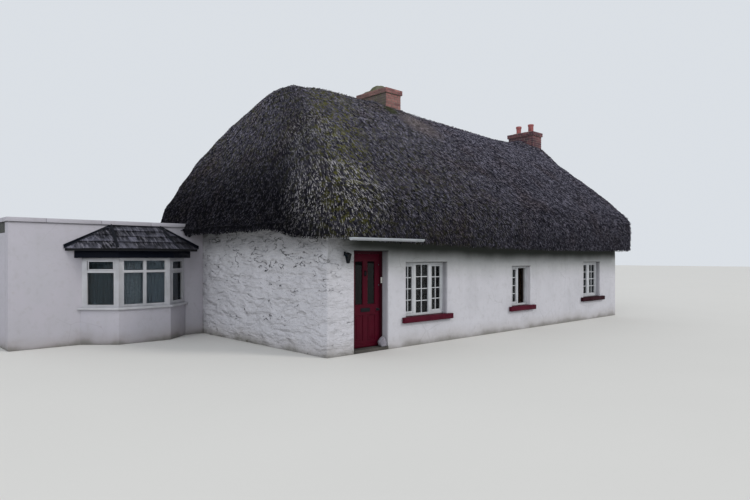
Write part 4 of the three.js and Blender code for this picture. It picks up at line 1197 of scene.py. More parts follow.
terracotta = earthy("Terracotta_thrown_and_fired", "#a5605f", "#8c4b4b", "#4b3c3e", scale=7.0,
                    relief=0.004, cover=(0.5, 0.75))
STRAIGHT = [(0.093, 6.372), (0.093, 6.62), (0.101, 6.63), (0.106, 6.648), (0.106, 6.672), (0.100, 6.688),
            (0.088, 6.69), (0.078, 6.684), (0.076, 6.66), (0.076, 6.372)]
FLARED = [(0.079, 6.372), (0.080, 6.43), (0.088, 6.44), (0.088, 6.455), (0.081, 6.465), (0.086, 6.60),
          (0.098, 6.622), (0.101, 6.64), (0.101, 6.675), (0.095, 6.69), (0.086, 6.69), (0.078, 6.675),
          (0.070, 6.60), (0.064, 6.45), (0.063, 6.372)]
POT_STEPS = 40
turned("clay_pot_front", STRAIGHT, 11.725, 2.98, ("chimney_pot_front",))
turned("clay_pot_back", FLARED, 11.725, 3.485, ("chimney_pot_back",))
finish_plain("chimney_left", mortar)
finish_plain("chimney_right", mortar)
print("two stacks, two crowns and two pots")

# %% [markdown]
# ## Edges that are never sharp
#
# Nothing on a real house has a perfectly sharp edge: a plane takes the arris off wood, paint
# rounds it, and render crumbles. The plain model has hard edges, so a copy of each of its
# smaller parts is merged, its flat faces are joined, and a narrow bevel is cut along every
# sharp edge. The copy then stands in for the plain one. A few millimetres are enough to catch a
# line of light.


def plain_form(node):
    """The plain part as a bmesh drawn from the house's corner, merged and with whole faces."""
    form = bmesh.new()
    form.from_mesh(nodes[node].data)
    form.transform(Matrix.Translation(-HOUSE_CORNER) @ nodes[node].matrix_world)
    bmesh.ops.remove_doubles(form, verts=form.verts, dist=0.0001)
    bmesh.ops.dissolve_limit(form, angle_limit=math.radians(1), verts=form.verts, edges=form.edges)
    return form


def eased(node, width, material, body="cottage", segments=2):
    form = plain_form(node)
    corners = [e for e in form.edges if e.is_manifold and e.calc_face_angle(0.0) > math.radians(30)]
    bmesh.ops.bevel(form, geom=corners, offset=width, segments=segments, profile=0.5,
                    affect="EDGES", clamp_overlap=True)
    set_piece(node + "_eased", form, material, body, (node,))


def block(form, low, high, ease, turn=None):
    """Add a box with eased edges to a bmesh. turn is a matrix for the finished box."""
    made = bmesh.ops.create_cube(form, size=1.0)["verts"]
    size = [b - a for a, b in zip(low, high)]
    middle = [(a + b) / 2 for a, b in zip(low, high)]
    bmesh.ops.scale(form, verts=made, vec=size)
    bmesh.ops.translate(form, verts=made, vec=middle)
    if ease:
        edges = list({e for v in made for e in v.link_edges})
        done = bmesh.ops.bevel(form, geom=edges, offset=min(ease, 0.4 * min(size)), segments=2,
                               profile=0.5, affect="EDGES")
        made = list({v for f in done["faces"] for v in f.verts})
    if turn is not None:
        bmesh.ops.transform(form, matrix=turn, verts=made)


def four_lengths(x0, x1, z0, z1, face):
    """Two uprights and the two rails between them round a rectangle, each as (x0, x1, z0, z1)."""
    return ((x0, x0 + face, z0, z1), (x1 - face, x1, z0, z1),
            (x0 + face, x1 - face, z0, z0 + face), (x0 + face, x1 - face, z1 - face, z1))


def rod(form, points, radius, sides):
    """Add a closed round rod along a line of points to a bmesh."""
    points = [Vector(p) for p in points]
    turns = [2 * math.pi * k / sides for k in range(sides)]
    rings = []
    for i, point in enumerate(points):
        ahead = (points[min(i + 1, len(points) - 1)] - points[max(i - 1, 0)]).normalized()
        side = ahead.orthogonal() if i == 0 else side - ahead * side.dot(ahead)
        side.normalize()
        other = ahead.cross(side)
        rings.append([form.verts.new(point + (side * math.cos(a) + other * math.sin(a)) * radius)
                      for a in turns])
    skin(form, rings)
    form.faces.new(reversed(rings[0]))
    form.faces.new(rings[-1])


# %% [markdown]
# ## Paints and plain metals
#
# Old oil paint on a cottage is thick and brushed: it keeps a soft gloss, shows brush marks
# along its length, dulls in patches and wears through on edges. The door is a deep red gloss,
# the sills the same red but scuffed to show the older, darker coats below, and the window frames
# are white that has greyed. The navy of the bay's fascia is almost black. One recipe makes them
# all, with the colours and the amount of wear as its inputs, and it serves for plastic, iron,
# steel and lead too. Felt, concrete and stone take the earthy recipe of the mortar.

# %% Painted, moulded and metal finishes
def painted(name, colour_code, worn_code, wear, roughness, stretch=(30, 30, 3), metallic=0.0,
            relief=0.0015, sheen=0.3):
    material, tree, shader, place = start_material(name)
    fog = add(tree, NOISE, [place, 5.0, 5.0])
    chips = add(tree, NOISE, [place, 34.0, 8.0, 0.7])
    chipped = add(tree, RANGE, [chips, 0.60, 0.66, 0.0, wear])
    colour = coated(tree, linear(colour_code), (worn_code, 1.0, (fog, 0.3, 0.7, 0.0, 0.35)),
                    (worn_code, chipped), soft=False)
    gloss = add(tree, RANGE, [fog, 0.3, 0.7, roughness * 0.8, min(1.0, roughness * 1.35)])
    lie = add(tree, MAPPING, {"Vector": place, "Scale": stretch})
    brush = add(tree, NOISE, [lie, 6.0, 3.0])
    both = add(tree, MATH, [brush, chipped], operation="SUBTRACT")
    bump = add(tree, BUMP, {"Strength": 0.5, "Distance": relief, "Height": both})
    fill(shader, {"Base Color": colour, "Metallic": metallic, "Specular IOR Level": sheen,
                  "Roughness": gloss, "Normal": bump})
    return material


door_red = painted("Gloss_oil_paint_deep_red_brushed", "#47081a", "#320713", 0.2, 0.38, sheen=0.09)
frame_red = painted("Gloss_oil_paint_dark_red_weathered", "#340714", "#1f060b", 0.3, 0.42, sheen=0.09)
sill_red = painted("Oil_paint_red_scuffed_on_concrete", "#4d0b20", "#220d12", 0.75, 0.55,
                   stretch=(8, 8, 8), relief=0.003, sheen=0.10)
darker_red = painted("Oil_paint_red_darker_on_concrete", "#2e0a16", "#180a0d", 0.75, 0.60,
                    stretch=(8, 8, 8), relief=0.003, sheen=0.10)
window_white = painted("Oil_paint_white_greyed_on_timber", "#bfc1c4", "#8a8c8c", 0.35, 0.45)
casement_shade_brown = painted("Brown_painted_shade_on_timber", "#1d1613", "#2c2119", 0.3, 0.5, sheen=0.2)
bay_white = painted("Oil_paint_white_semi_gloss", "#b4b4b8", "#868684", 0.2, 0.40)
gutter_white = painted("White_vinyl_extruded", "#a4a8ae", "#6c746d", 0.45, 0.42, stretch=(2, 2, 2),
                       sheen=0.2)
plastic_white = painted("White_plastic_moulded", "#d4d2cc", "#a8a49a", 0.2, 0.35, stretch=(2, 2, 2))
navy = painted("Oil_paint_navy_weathered", "#070b16", "#101420", 0.3, 0.5, stretch=(3, 3, 30), sheen=0.08)
iron = painted("Wrought_iron_black_japanned", "#0f1216", "#24242a", 0.4, 0.45, relief=0.002,
               stretch=(6, 6, 6), sheen=0.15)
steel = painted("Steel_brushed_tarnished", "#6d7072", "#3c3f42", 0.5, 0.38, metallic=0.9,
                stretch=(40, 3, 40))
lead = painted("Sheet_lead_dressed_weathered", "#14171f", "#2a2d34", 0.4, 0.6, metallic=0.2,
               stretch=(4, 4, 4), relief=0.004)
felt = earthy("Bitumen_felt_mineral_finish", "#3b3d3e", "#4c4d4b", "#565a45", scale=4.0)
concrete = earthy("Concrete_trowelled_worn", "#8f8b84", "#77736c", "#5f5b52", scale=3.0, relief=0.004)
flagstones = earthy("Stone_floor_dark_worn", "#4c4843", "#3c3935", "#2c2926", scale=3.0, relief=0.004)
guard_stone = earthy("Fieldstone_splashed_with_limewash", "#8c8890", "#77747c", "#5c5852", scale=9.0,
                     relief=0.008)
slate_bed = earthy("Roofing_underlay_dark", "#0a0b10", "#101116", "#07080b", scale=8.0)
print("paints and metals are mixed")

# %% Clear glass with a film of dust
def glass_material(name, tint, dust):
    material, tree, shader, place = start_material(name)
    cloud = add(tree, NOISE, [place, 3.0, 4.0])
    film = add(tree, RANGE, [cloud, 0.35, 0.7, 0.0, dust])
    clear = add(tree, MATH, [1.0, film], operation="SUBTRACT")
    # hand-drawn glass is not quite flat
    ripple = add(tree, NOISE, [place, 2.2, 2.0])
    bump = add(tree, BUMP, {"Strength": 0.25, "Distance": 0.01, "Height": ripple})
    # a low index: glass of 1.5 would mirror the pale floor, and panes outdoors mirror dark things
    fill(shader, {"Base Color": linear(tint), "Transmission Weight": clear, "Roughness": film,
                  "IOR": 1.28, "Normal": bump})
    return material


glass = glass_material("Window_glass_drawn_sheet", "#8b9aa4", 0.006)
# painted light: the middle pane of the bay is made clearer than the side ones, so the net behind it shows
# lighter, as the side faces are in shade
clearer_glass_painted_light = glass_material("Window_glass_clearer_painted_light", "#bccad6", 0.012)
# on the lantern the near-black tint of this glass is painted shade: it hides the lantern's lit inside
door_glass = glass_material("Obscured_glass_green_cast", "#15222a", 0.02)
sooty_glass = glass_material("Window_glass_smoke_stained", "#1c2124", 0.03)
PANES = {
    glass: ("window_1_glass", "window_2_glass", "window_2_casement_glass", "window_3_glass",
            "bay_glass_left", "bay_glass_right"),
    clearer_glass_painted_light: ("bay_glass_centre",),
    door_glass: ("door_glass_left", "door_glass_right", "lantern_glass"),
    sooty_glass: ("back_window_1_glass", "back_window_2_glass"),
}
for kind, panes in PANES.items():
    for node in panes:
        finish_plain(node, kind)
print("panes:", sum(len(panes) for panes in PANES.values()))

# %% [markdown]
# ## The annex
#
# The flat-roofed annex on the left is newer: a rendered wall with a plain coping. Its coping is
# cast in lengths, and the joints between them show as thin dark lines, so it is rebuilt in
# lengths with a small gap. Its walls keep their plain form, with eased arrises. High up beside
# the bay there is a small round vent.

# %% Annex walls, coping and roof
for node in ("side_left_wall", "side_back_wall", "side_front_wall", "bay_base"):
    eased(node, 0.006, render_coat)
finish_plain("party_wall", limewash)
finish_plain("side_roof", felt)
finish_plain("side_floor", concrete)
# the house floor's dark stone colour is partly painted shade, keeping the rooms dark behind the windows
finish_plain("house_floor", flagstones)

COPING_JOINTS = [-4.24, -3.52, -2.42, -1.32, -0.42, 0.04]
coping_form = bmesh.new()
for along_x, near, far, stops in ((True, 4.945, 5.325, COPING_JOINTS),
                                  (False, -4.24, -3.86, (5.325, 6.5, 7.8, 9.04)),
                                  (True, 8.66, 9.04, (-3.86, -2.6, -1.3, 0.04)),
                                  (False, -0.26, 0.04, (6.81, 8.66))):
    for a, b in zip(stops, stops[1:]):
        low, high = (a + 0.003, near), (b - 0.003, far)
        if not along_x:
            low, high = low[::-1], high[::-1]
        block(coping_form, (*low, 2.62), (*high, 2.71), 0.008)
set_piece("coping_lengths", coping_form, render_coat, stands_for=("side_coping",))

vent_form = bmesh.new()
rod(vent_form, [(-0.36, 4.972, 2.42), (-0.36, 4.99, 2.42)], 0.036, 24)
set_piece("vent_cover", vent_form, iron)
print("coping lengths:", len(COPING_JOINTS) - 1, "along the front")

# %% [markdown]
# ## The bay's slate roof
#
# Slates are split stone, laid from the eave up so that each course covers the nails of the
# one below. What shows of each is a strip as high as the gauge. They are never quite one
# colour, and hold their place by overlapping, so every slate lies at a small angle with its tail
# lifted. Here each is a thin block cut to the outline of the roof face that it lies on, and
# carries a tone that the slate material turns into a shade of grey. The tone falls towards each
# slate's head, as painted shade under the course above. The hips are dressed with lead rolls.

# %% Lay slates on a roof face
def cut_to(polygon, outline):
    """The part of a flat polygon that lies inside a convex outline, both in face coordinates."""
    for (ax, ay), (bx, by) in zip(outline, outline[1:] + outline[:1]):
        depth = [(bx - ax) * (y - ay) - (by - ay) * (x - ax) for x, y in polygon]
        kept = []
        for i, (px, py) in enumerate(polygon):
            j = (i + 1) % len(polygon)
            if depth[i] >= 0:
                kept.append((px, py))
            if (depth[i] >= 0) != (depth[j] >= 0):
                share = depth[i] / (depth[i] - depth[j])
                qx, qy = polygon[j]
                kept.append((px + (qx - px) * share, py + (qy - py) * share))
        polygon = kept
        if len(polygon) < 3:
            return []
    return polygon


SLATE_WIDTH, GAUGE, SLATE_THICK = 0.205, 0.228, 0.009
TAIL_LIFT, HEAD_LIFT = 0.030, 0.005


def lay_slates(form, tone_layer, corners, seed):
    """Courses of slates on a face given by its corners, the first two along the eave."""
    corners = [Vector(c) for c in corners]
    along = (corners[1] - corners[0]).normalized()
    normal = along.cross(corners[2] - corners[0]).normalized()
    up = normal.cross(along)
    flat = [((c - corners[0]).dot(along), (c - corners[0]).dot(up)) for c in corners]
    eaved = [(flat[0][0] - 0.02, flat[0][1] - 0.03), (flat[1][0] + 0.02, flat[1][1] - 0.03), *flat[2:]]
    top = max(t for _, t in flat)
    laid = 0
    for course in range(math.ceil((top - 0.02) / GAUGE)):
        low = course * GAUGE - (0 if course else 0.025)
        high = min(course * GAUGE + GAUGE + 0.05, top)
        s = -SLATE_WIDTH * (0.5 if course % 2 else 0.12)
        while s < flat[1][0]:
            wide = SLATE_WIDTH * (1 + 0.22 * wander(s * 3, course * 5.1, seed))
            wide = max(wide, 0.13)
            tail = low + 0.014 * wander(s * 7, course * 3.3, seed + 5)
            left, right = s + 0.005, s + wide - 0.005
            shape = [(left, tail), (right, tail), (right, high), (left, high)]
            tone = 0.60 + 1.1 * wander(s * 11, course * 7.7, seed + 9)
            s += wide
            shape = cut_to(shape, flat if course else eaved)
            if not shape:
                continue
            upper, lower = [], []
            for across, rise in shape:
                share = clamp((rise - low) / (high - low), 0, 1)
                lift = TAIL_LIFT + (HEAD_LIFT - TAIL_LIFT) * share
                place = corners[0] + along * across + up * rise
                for store, extra in ((upper, 0.0), (lower, -SLATE_THICK * (1 - 0.5 * share))):
                    vert = form.verts.new(place + normal * (lift + extra))
                    # painted shade: the tone falls towards the head of each slate, under the tail of the
                    # course above
                    vert[tone_layer] = clamp(tone - 0.62 * share, 0, 1)
                    store.append(vert)
            form.faces.new(upper)
            form.faces.new(lower[::-1])
            skin(form, [lower, upper])
            laid += 1
    return laid


def slate_material():
    material, tree, shader, place = start_material("Welsh_slate_riven_weathered")
    tone = add(tree, "ShaderNodeAttribute", attribute_name="tone").outputs["Fac"]
    colour = add(tree, MIX, [tone, linear("#0d0f16"), linear("#62626f")], data_type="RGBA")
    cloud = add(tree, NOISE, [place, 9.0, 7.0, 0.65])
    # rain has washed pale and dark runs down the slope
    lie = add(tree, MAPPING, {"Vector": place, "Scale": (30.0, 4.0, 4.0)})
    runs = add(tree, NOISE, [lie, 1.0, 4.0])
    colour = coated(tree, colour, ("#4c4a4c", 1.0, (cloud, 0.5, 0.7, 0.0, 0.6)),
                    ("#16181d", 1.0, (cloud, 0.48, 0.34, 0.0, 0.7)),
                    ("#7d7b84", 1.0, (runs, 0.52, 0.68, 0.0, 0.7)),
                    ("#07080d", 1.0, (runs, 0.46, 0.34, 0.0, 0.85)), soft=False)
    riven = add(tree, NOISE, [place, 26.0, 6.0])
    bump = add(tree, BUMP, {"Strength": 0.7, "Distance": 0.006, "Height": riven})
    fill(shader, {"Base Color": colour, "Roughness": 0.62, "Specular IOR Level": 0.25, "Normal": bump})
    return material


EAVE_LEFT, EAVE_RIGHT = -3.1575, -0.1525
FRONT_LEFT, FRONT_RIGHT, FRONT_Y = -2.3133, -0.9967, 4.23
TOP_LEFT, TOP_RIGHT, TOP_Z, WALL_Y, EAVE_Z = -2.215, -1.095, 2.60, 4.985, 2.085
BAY_FACES = [
    [(FRONT_LEFT, FRONT_Y, EAVE_Z), (FRONT_RIGHT, FRONT_Y, EAVE_Z), (TOP_RIGHT, WALL_Y, TOP_Z),
     (TOP_LEFT, WALL_Y, TOP_Z)],
    [(EAVE_LEFT, WALL_Y, EAVE_Z), (FRONT_LEFT, FRONT_Y, EAVE_Z), (TOP_LEFT, WALL_Y, TOP_Z)],
    [(FRONT_RIGHT, FRONT_Y, EAVE_Z), (EAVE_RIGHT, WALL_Y, EAVE_Z), (TOP_RIGHT, WALL_Y, TOP_Z)],
]
slate_form = bmesh.new()
slate_tone = slate_form.verts.layers.float.new("tone")
count = sum(lay_slates(slate_form, slate_tone, face, seed) for seed, face in enumerate(BAY_FACES))
set_piece("bay_slates", slate_form, slate_material(), crease=None)
finish_plain("bay_roof", slate_bed)
print("slates laid:", count)

# %% Lead rolls on the hips, a flashing at the wall and the painted fascia
lead_form = bmesh.new()
boards = bmesh.new()
for side, front_x, eave_x, top_x in ((-1, FRONT_LEFT, EAVE_LEFT, TOP_LEFT),
                                     (1, FRONT_RIGHT, EAVE_RIGHT, TOP_RIGHT)):
    for start, end, count, radius in (
            ((front_x + side * 0.015, FRONT_Y - 0.014, EAVE_Z + 0.012),
             (top_x, WALL_Y - 0.02, TOP_Z + 0.012), 12, 0.030),
            ((eave_x, WALL_Y - 0.012, EAVE_Z + 0.01), (top_x, WALL_Y - 0.012, TOP_Z + 0.02), 10, 0.024)):
        rod(lead_form, [Vector(start).lerp(Vector(end), i / count) for i in range(count + 1)], radius, 12)
    low_x = eave_x + side * 0.02
    ends = [(low_x, EAVE_Z), (top_x, TOP_Z), (top_x, TOP_Z + 0.035), (low_x + side * 0.01, EAVE_Z + 0.085)]
    near, far = [[boards.verts.new((x, WALL_Y - back, z)) for x, z in ends] for back in (0.030, 0.002)]
    boards.faces.new(near)
    boards.faces.new(far[::-1])
    skin(boards, [near, far])
flashing = WALL_Y - 0.016, TOP_Z + 0.018
rod(lead_form, [(TOP_LEFT - 0.02, *flashing), (TOP_RIGHT + 0.02, *flashing)], 0.022, 12)
set_piece("bay_lead", lead_form, lead, crease=50)
bmesh.ops.recalc_face_normals(boards, faces=boards.faces)
bmesh.ops.bevel(boards, geom=boards.edges[:], offset=0.003, segments=1, affect="EDGES")
set_piece("bay_verge_boards", boards, navy)
eased("bay_fascia", 0.004, navy)
eased("bay_sill", 0.008, bay_white)
print("the bay's roof is closed at its hips and wall")

# %% [markdown]
# ## Windows
#
# The windows are painted timber casements, each light divided by slim glazing bars into two
# columns of four panes. The bars are about 20 mm wide, and the casement that holds them has
# stiles of 36 mm, set in the fixed frame. The plain model has the frame and one sheet of glass,
# so the casements and bars are added just in front of the glass, as single eased lengths.

# %% Frames, casements and glazing bars
BAR = 0.020
STILE = 0.036
GAP = 0.0015
GLASS_FRONT = 0.1745


def glazed_light(form, x0, x1, z0, z1, stile):
    """A casement in a light, with its glazing bars. stile 0 leaves only the bars."""
    left, right, low, high = x0 + stile, x1 - stile, z0 + stile * 1.4, z1 - stile
    lengths = []
    if stile:
        lengths += [(x0 + GAP, left, 0.136, z0 + GAP, z1 - GAP, 0.003),
                    (right, x1 - GAP, 0.136, z0 + GAP, z1 - GAP, 0.003),
                    (left, right, 0.137, z0 + GAP, low, 0.003), (left, right, 0.137, high, z1 - GAP, 0.003)]
    middle = (left + right) / 2
    lengths.append((middle - BAR / 2, middle + BAR / 2, 0.152, low, high, 0.004))
    for j in (1, 2, 3):
        z = low + (high - low) * j / 4
        lengths.append((left, right, 0.154, z - BAR / 2, z + BAR / 2, 0.004))
    for a, b, y, c, d, ease in lengths:
        block(form, (a, y, c), (b, GLASS_FRONT, d), ease)


WINDOWS = {
    "window_1": [(2.19, 2.50, 0.67, 1.73, STILE), (2.58, 2.99, 0.67, 1.73, 0.0),
                 (3.07, 3.44, 0.67, 1.73, STILE)],
    "window_2": [(6.14, 6.50, 0.67, 1.605, STILE)],
    "window_3": [(9.93, 10.37, 0.73, 1.69, STILE), (10.45, 10.89, 0.73, 1.69, STILE)],
    "back_window_1": [(2.65, 3.09, 0.73, 1.69, STILE), (3.17, 3.61, 0.73, 1.69, STILE)],
    "back_window_2": [(8.35, 8.79, 0.73, 1.69, STILE), (8.87, 9.31, 0.73, 1.69, STILE)],
}
for window, lights in WINDOWS.items():
    eased(window + "_frame", 0.004, window_white)
    bars = bmesh.new()
    for light in lights:
        glazed_light(bars, *light)
    if window.startswith("back"):
        # the same bars, turned round about the middle of the window to look out at the back
        across = lights[0][0] + lights[-1][1]
        bars.transform(Matrix.Translation((across, DEPTH, 0)) @ Matrix.Rotation(math.pi, 4, "Z"))
    else:
        # the far sill is painted darker than the other two
        eased(window + "_sill", 0.012, darker_red if window == "window_3" else sill_red, segments=3)
    set_piece(window + "_bars", bars, window_white)
print("windows:", len(WINDOWS))

# %% [markdown]
# ## The open casement
#
# The second window stands open. Its right casement is folded back against the splayed side of
# the opening indoors, so from outside it is seen almost edge on, and only the side that faces
# the room when it is shut. The casement and its bars are painted a dark brown, as painted shade,
# so that they melt into the dark opening. Its bars are made flat, in the plane of the casement,
# and turned with it about its hinge.

# %% Bars of the casement that stands open
HINGE = Vector((6.9095, 0.2005, 0.0))
OPEN_ANGLE = math.radians(141)
open_bars = bmesh.new()
# painted shade: the folded casement is dark brown, so it reads as part of the dark opening
eased("window_2_casement", 0.003, casement_shade_brown)
print("casement folded back by", round(math.degrees(OPEN_ANGLE)), "degrees")
CASEMENT_WIDTH = 0.350
RAIL = 0.038
CASEMENT_LOW, CASEMENT_HIGH = 0.675, 1.600
left, right = -CASEMENT_WIDTH + RAIL, -RAIL
low, high = CASEMENT_LOW + RAIL, CASEMENT_HIGH - RAIL
middle = (left + right) / 2
block(open_bars, (middle - BAR / 2, -0.033, low), (middle + BAR / 2, -0.0205, high), 0.003)
for j in range(1, 4):
    z = low + (high - low) * j / 4
    block(open_bars, (left, -0.032, z - BAR / 2), (right, -0.0205, z + BAR / 2), 0.003)
# a peg stay hangs on the bottom rail
rod(open_bars, [(-0.30, -0.038, CASEMENT_LOW + 0.02), (-0.12, -0.040, CASEMENT_LOW + 0.02)], 0.005, 8)
open_bars.transform(Matrix.Translation(HINGE) @ Matrix.Rotation(-OPEN_ANGLE, 4, "Z"))
# the bars take the same dark brown of painted shade
set_piece("window_2_casement_bars", open_bars, casement_shade_brown)

# %% [markdown]
# ## The bay's joinery
#
# The bay is a larger, later window. Its head and sill rails turn two corners, and some of
# its lights open, so they have a second frame inside the first: the top light on the left, and
# both lights on the narrow right face. These are laid out in the plane of each glass face from
# its two ends.

# %% Frames of the opening lights in the bay
BAY_MIDDLE, BAY_DEPTH, BAY_SPLAY, BAY_HALF_BACK, BAY_HALF_FRONT = -1.655, 0.55, 0.615, 1.195, 0.58
FRAME_BACK, FRAME_FRONT = 0.017, 0.043


def face_frame(form, start, end, z0, z1, face):
    """Four eased rails round a light between two points in plan, just outside the glass."""
    start, end = Vector((*start, 0)), Vector((*end, 0))
    along = (end - start).normalized()
    outward = Vector((along.y, -along.x, 0))
    width = (end - start).length
    frame_matrix = Matrix((
        (along.x, outward.x, 0, start.x), (along.y, outward.y, 0, start.y), (0, 0, 1, 0), (0, 0, 0, 1)))
    for x0, x1, a, b in four_lengths(0, width, z0, z1, face):
        block(form, (x0, FRAME_BACK, a), (x1, FRAME_FRONT, b), 0.004, turn=frame_matrix)


def bay_line(reach):
    """Plan corners of a line parallel to the bay's face, left to right."""
    slant = math.atan2(BAY_DEPTH, BAY_SPLAY)
    wall_x = BAY_HALF_BACK + reach / math.sin(slant)
    front_x = BAY_HALF_FRONT + reach * math.tan(slant / 2)
    y = WALL_Y - BAY_DEPTH - reach
    line = ((-wall_x, WALL_Y), (-front_x, y), (front_x, y), (wall_x, WALL_Y))
    return [(x + BAY_MIDDLE, y) for x, y in line]


glass_line = [Vector(p) for p in bay_line(-0.050)]
frames = bmesh.new()
HEAD, SILL_TOP, TRANSOM_LOW, TRANSOM_HIGH = 1.82, 0.86, 1.555, 1.61
for corner, first, last, low, high, face in ((0, 0.13, 0.885, TRANSOM_HIGH, HEAD, 0.024),
                                             (2, 0.125, 0.88, TRANSOM_HIGH, HEAD, 0.022),
                                             (2, 0.125, 0.88, SILL_TOP, TRANSOM_LOW, 0.026)):
    a, b = glass_line[corner:corner + 2]
    face_frame(frames, a.lerp(b, first), a.lerp(b, last), low, high, face)
set_piece("bay_light_frames", frames, bay_white)
eased("bay_frame", 0.005, bay_white)
print("bay glass line:", [tuple(round(c, 3) for c in p) for p in glass_line])

# %% [markdown]
# ## The front door
#
# The door is the brightest thing on the house: a deep red gloss leaf with two tall obscured
# lights above and two fielded panels below. It is the one part that moves, so everything on
# it rides on the door's own body: the leaf, beads, panels, letter plate, knob and knocker. A
# bead is a thin strip that holds the glass in, and a fielded panel is a board whose edges are
# planed down so that its middle stands proud.

# %% Door leaf, beads, panels and furniture
eased("front_door", 0.004, door_red, body="door")
eased("door_frame", 0.004, frame_red)

LEAF_MIDDLE = 1.1435
LIGHT_INNER, LIGHT_OUTER, LIGHT_LOW, LIGHT_HIGH = 0.060, 0.275, 0.93, 1.82
PANEL_LOW, PANEL_HIGH = 0.20, 0.72
beads = bmesh.new()
for side in (-1, 1):
    x0, x1 = sorted((LEAF_MIDDLE + side * LIGHT_INNER, LEAF_MIDDLE + side * LIGHT_OUTER))
    for a, b, low, high in four_lengths(x0, x1, LIGHT_LOW, LIGHT_HIGH, 0.011):
        block(beads, (a, 0.206, low), (b, 0.2185, high), 0.003)
    # a fielded panel: a flat middle with wide planed edges
    block(beads, (x0 + 0.012, 0.207, PANEL_LOW + 0.014), (x1 - 0.012, 0.2145, PANEL_HIGH - 0.014), 0.0)
    block(beads, (x0 + 0.045, 0.2015, PANEL_LOW + 0.05), (x1 - 0.045, 0.208, PANEL_HIGH - 0.05), 0.004)
# a weather board throws the rain off the foot of the door
block(beads, (0.752, 0.186, 0.075), (1.535, 0.2005, 0.125), 0.006)
set_piece("door_beads_and_panels", beads, door_red, "door")

furniture = bmesh.new()
for x, z, back, front, radius, sides in (
        (1.515, 1.32, 0.2005, 0.1935, 0.014, 20), (1.515, 1.32, 0.1940, 0.1915, 0.008, 16),
        (1.515, 1.74, 0.2005, 0.1935, 0.014, 20), (1.472, 0.820, 0.2005, 0.1955, 0.030, 28)):
    rod(furniture, [(x, back, z), (x, front, z)], radius, sides)
set_piece("door_locks", furniture, steel, "door")
flap = bmesh.new()
block(flap, (1.043, 0.1885, 0.803), (1.243, 0.1925, 0.847), 0.002)
set_piece("letter_flap", flap, iron, "door")


def smoothed(node, material, body="cottage", crease=50):
    """A copy of a rounded plain part, shaded smooth."""
    form = plain_form(node)
    set_piece(node + "_smooth", form, material, body, (node,), crease)


eased("letter_plate", 0.003, iron, body="door")
smoothed("door_knob", iron, body="door")
smoothed("door_knocker", iron, body="door")
eased("bell_box", 0.006, plastic_white, segments=3)
bell = bmesh.new()
rod(bell, [(1.5825, 0.1685, 1.40), (1.5825, 0.1645, 1.40)], 0.009, 20)
set_piece("bell_button", bell, iron)
print("the door is hung, with its locks, letter plate, knob and knocker")

# %% [markdown]
# ## Lantern, gutter and the stone at the door
#
# A short half-round gutter keeps the drip of the thatch off the doorstep. It is white vinyl with
# stop ends and a joining clip near its right end, and it is carried by strap brackets that run
# back under the straw. A black coach lantern hangs beside the door, and a rounded stone,
# limewashed with the wall, guards the foot of the jamb.

# %% Fittings on the front wall
GUTTER_Y, GUTTER_Z, GUTTER_RADIUS = -0.548, 2.262, 0.056
RING_STEPS = 16
eased("gutter", 0.0015, gutter_white)


def half_ring(form, x0, x1, outside, thick):
    """The lower half of a flat ring round the gutter's axis, from x0 to x1."""
    corners = ((x0, outside), (x1, outside), (x1, outside - thick), (x0, outside - thick))
    loops = []
    for k in range(RING_STEPS + 1):
        angle = math.pi * (1 + k / RING_STEPS)
        loops.append([form.verts.new((x, GUTTER_Y + math.cos(angle) * r, GUTTER_Z + math.sin(angle) * r))
                      for x, r in corners])
    skin(form, loops)
    form.faces.new(loops[0][::-1])
    form.faces.new(loops[-1])


clip = bmesh.new()
half_ring(clip, 1.845, 1.885, GUTTER_RADIUS + 0.005, 0.004)
half_ring(clip, 1.855, 1.875, GUTTER_RADIUS + 0.008, 0.004)
for x in (0.122, 2.050):
    half_ring(clip, x, x + 0.008, GUTTER_RADIUS + 0.002, 0.006)
set_piece("gutter_clips", clip, gutter_white)
straps = bmesh.new()
for x in (0.30, 0.85, 1.40, 1.96):
    half_ring(straps, x - 0.011, x + 0.011, GUTTER_RADIUS + 0.0045, 0.0035)
    block(straps, (x - 0.011, GUTTER_Y + GUTTER_RADIUS, 2.245), (x + 0.011, -0.002, 2.262), 0.002)
set_piece("gutter_straps", straps, gutter_white, stands_for=("gutter_brackets",))

smoothed("wall_lantern", iron, crease=35)
stone = plain_form("jamb_stone")
bmesh.ops.triangulate(stone, faces=[f for f in stone.faces if len(f.verts) > 4])
bmesh.ops.subdivide_edges(stone, edges=stone.edges[:], cuts=2, use_grid_fill=True, smooth=0.4)
stone.normal_update()
for vert in stone.verts:
    chipped = 0.030 * noise.noise(vert.co * 9.0) + 0.010 * noise.noise(vert.co * 30.0) - 0.006
    vert.co += vert.normal * chipped * (1.0 if vert.co.z > 0.03 else 0.0)
set_piece("jamb_stone_weathered", stone, guard_stone,
          stands_for=("jamb_stone",), crease=55)
print("fittings are hung")

# %% [markdown]
# ## Curtains
#
# Cloth that hangs in folds keeps its area: a curtain gathered into half its width has folds
# deep enough to use up the rest. Each curtain is drawn as a line in plan that waves in and out,
# and is let down to its hem, with a slow sway so that no two folds match. The brown curtain at
# the open window is woven wool. The net in the bay is so thin that the room shows through.

# %% Hang a gathered curtain
def rim_of(sheet):
    """The verts round the edge of a sheet that is held as lines of verts."""
    return (sheet[0] + [line[-1] for line in sheet[1:]] + sheet[-1][-2::-1]
            + [line[0] for line in sheet[-2:0:-1]])


def on_path(path, s):
    """The point at a length along a line in plan, and the direction across it there."""
    for a, b in zip(path, path[1:]):
        run = (b - a).length
        if s <= run or b is path[-1]:
            along = (b - a).normalized()
            return a + along * s, Vector((-along.y, along.x))
        s -= run


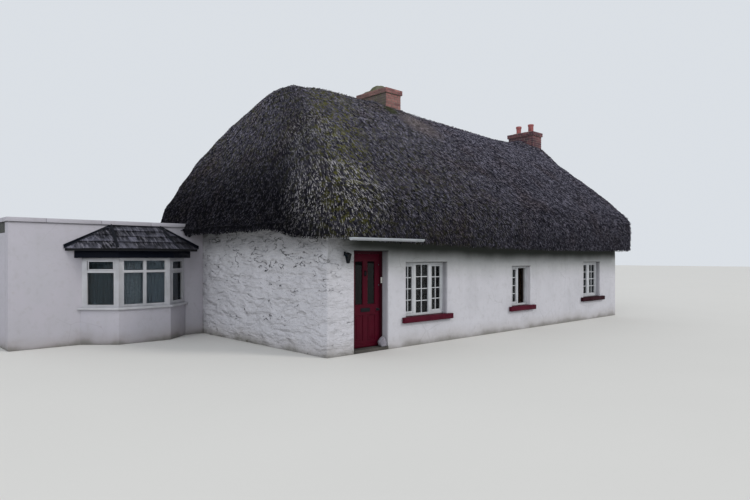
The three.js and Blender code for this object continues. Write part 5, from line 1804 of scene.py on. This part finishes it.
def curtain(name, path, top, hem, fold, depth, thick, material, stands_for):
    """A thin closed cloth that hangs in folds along a line in plan."""
    path = [Vector(p) for p in path]
    total = sum((b - a).length for a, b in zip(path, path[1:]))
    count = int(total / fold * POINTS_A_FOLD)
    form = bmesh.new()
    sheets = []
    for side in (0.5, -0.5):
        lines = []
        for j in range(CLOTH_ROWS + 1):
            down = j / CLOTH_ROWS
            z = top + (hem - top) * down
            line = []
            for i in range(count + 1):
                s = total * i / count
                drift = SWAY * fold * wander(s * 5, z * 0.9, 3.0)
                wave = math.sin(2 * math.pi * (s + drift) / fold)
                deep = 0.85 + 0.3 * wander(s * 9, 0, 1)
                deep *= depth * (0.65 + 0.35 * smooth(down * 3))
                point, across = on_path(path, s)
                line.append(form.verts.new((*(point + across * (wave * deep + side * thick)), z)))
            lines.append(line)
        skin(form, lines, closed=False)
        sheets.append(lines)
    skin(form, [rim_of(sheet) for sheet in sheets])
    bmesh.ops.recalc_face_normals(form, faces=form.faces)
    cloth = set_piece(name, form, material, stands_for=stands_for, crease=80)


def woven(name, warp_code, weft_code, threads, see_through):
    material, tree, shader, place = start_material(name)
    height = add(tree, "ShaderNodeSeparateXYZ", [place]).outputs[2]
    up = add(tree, MATH, [height, threads * 2 * math.pi], operation="MULTIPLY")
    weft = add(tree, MATH, [up], operation="SINE")
    slub = add(tree, NOISE, [place, 40.0, 4.0])
    colour = coated(tree, linear(warp_code), (weft_code, 1.0, (slub, 0.35, 0.65, 0.0, 1.0)), soft=False)
    bump = add(tree, BUMP, {"Strength": 0.4, "Distance": 0.001, "Height": weft})
    fill(shader, {"Base Color": colour, "Roughness": 0.95, "Sheen Weight": 0.3,
                  "Alpha": 1.0 - see_through, "Normal": bump})
    return material


CLOTH_ROWS = 18
POINTS_A_FOLD = 12
SWAY = 0.25
wool = woven("Woven_wool_brown_curtain", "#7d614c", "#5c4636", 350, 0.0)
net = woven("Cotton_net_white_sheer", "#dcdcd6", "#c4c4bc", 500, 0.45)
curtain("brown_curtain", [(7.288, 0.570), (7.502, 0.570)], 1.798, 0.503, 0.052, 0.013, 0.002, wool,
        ("window_2_curtain",))
net_line = bay_line(-0.1275)
curtain("bay_net", net_line, 1.878, 0.833, 0.075, 0.009, 0.0012, net, ("bay_net_curtain",))
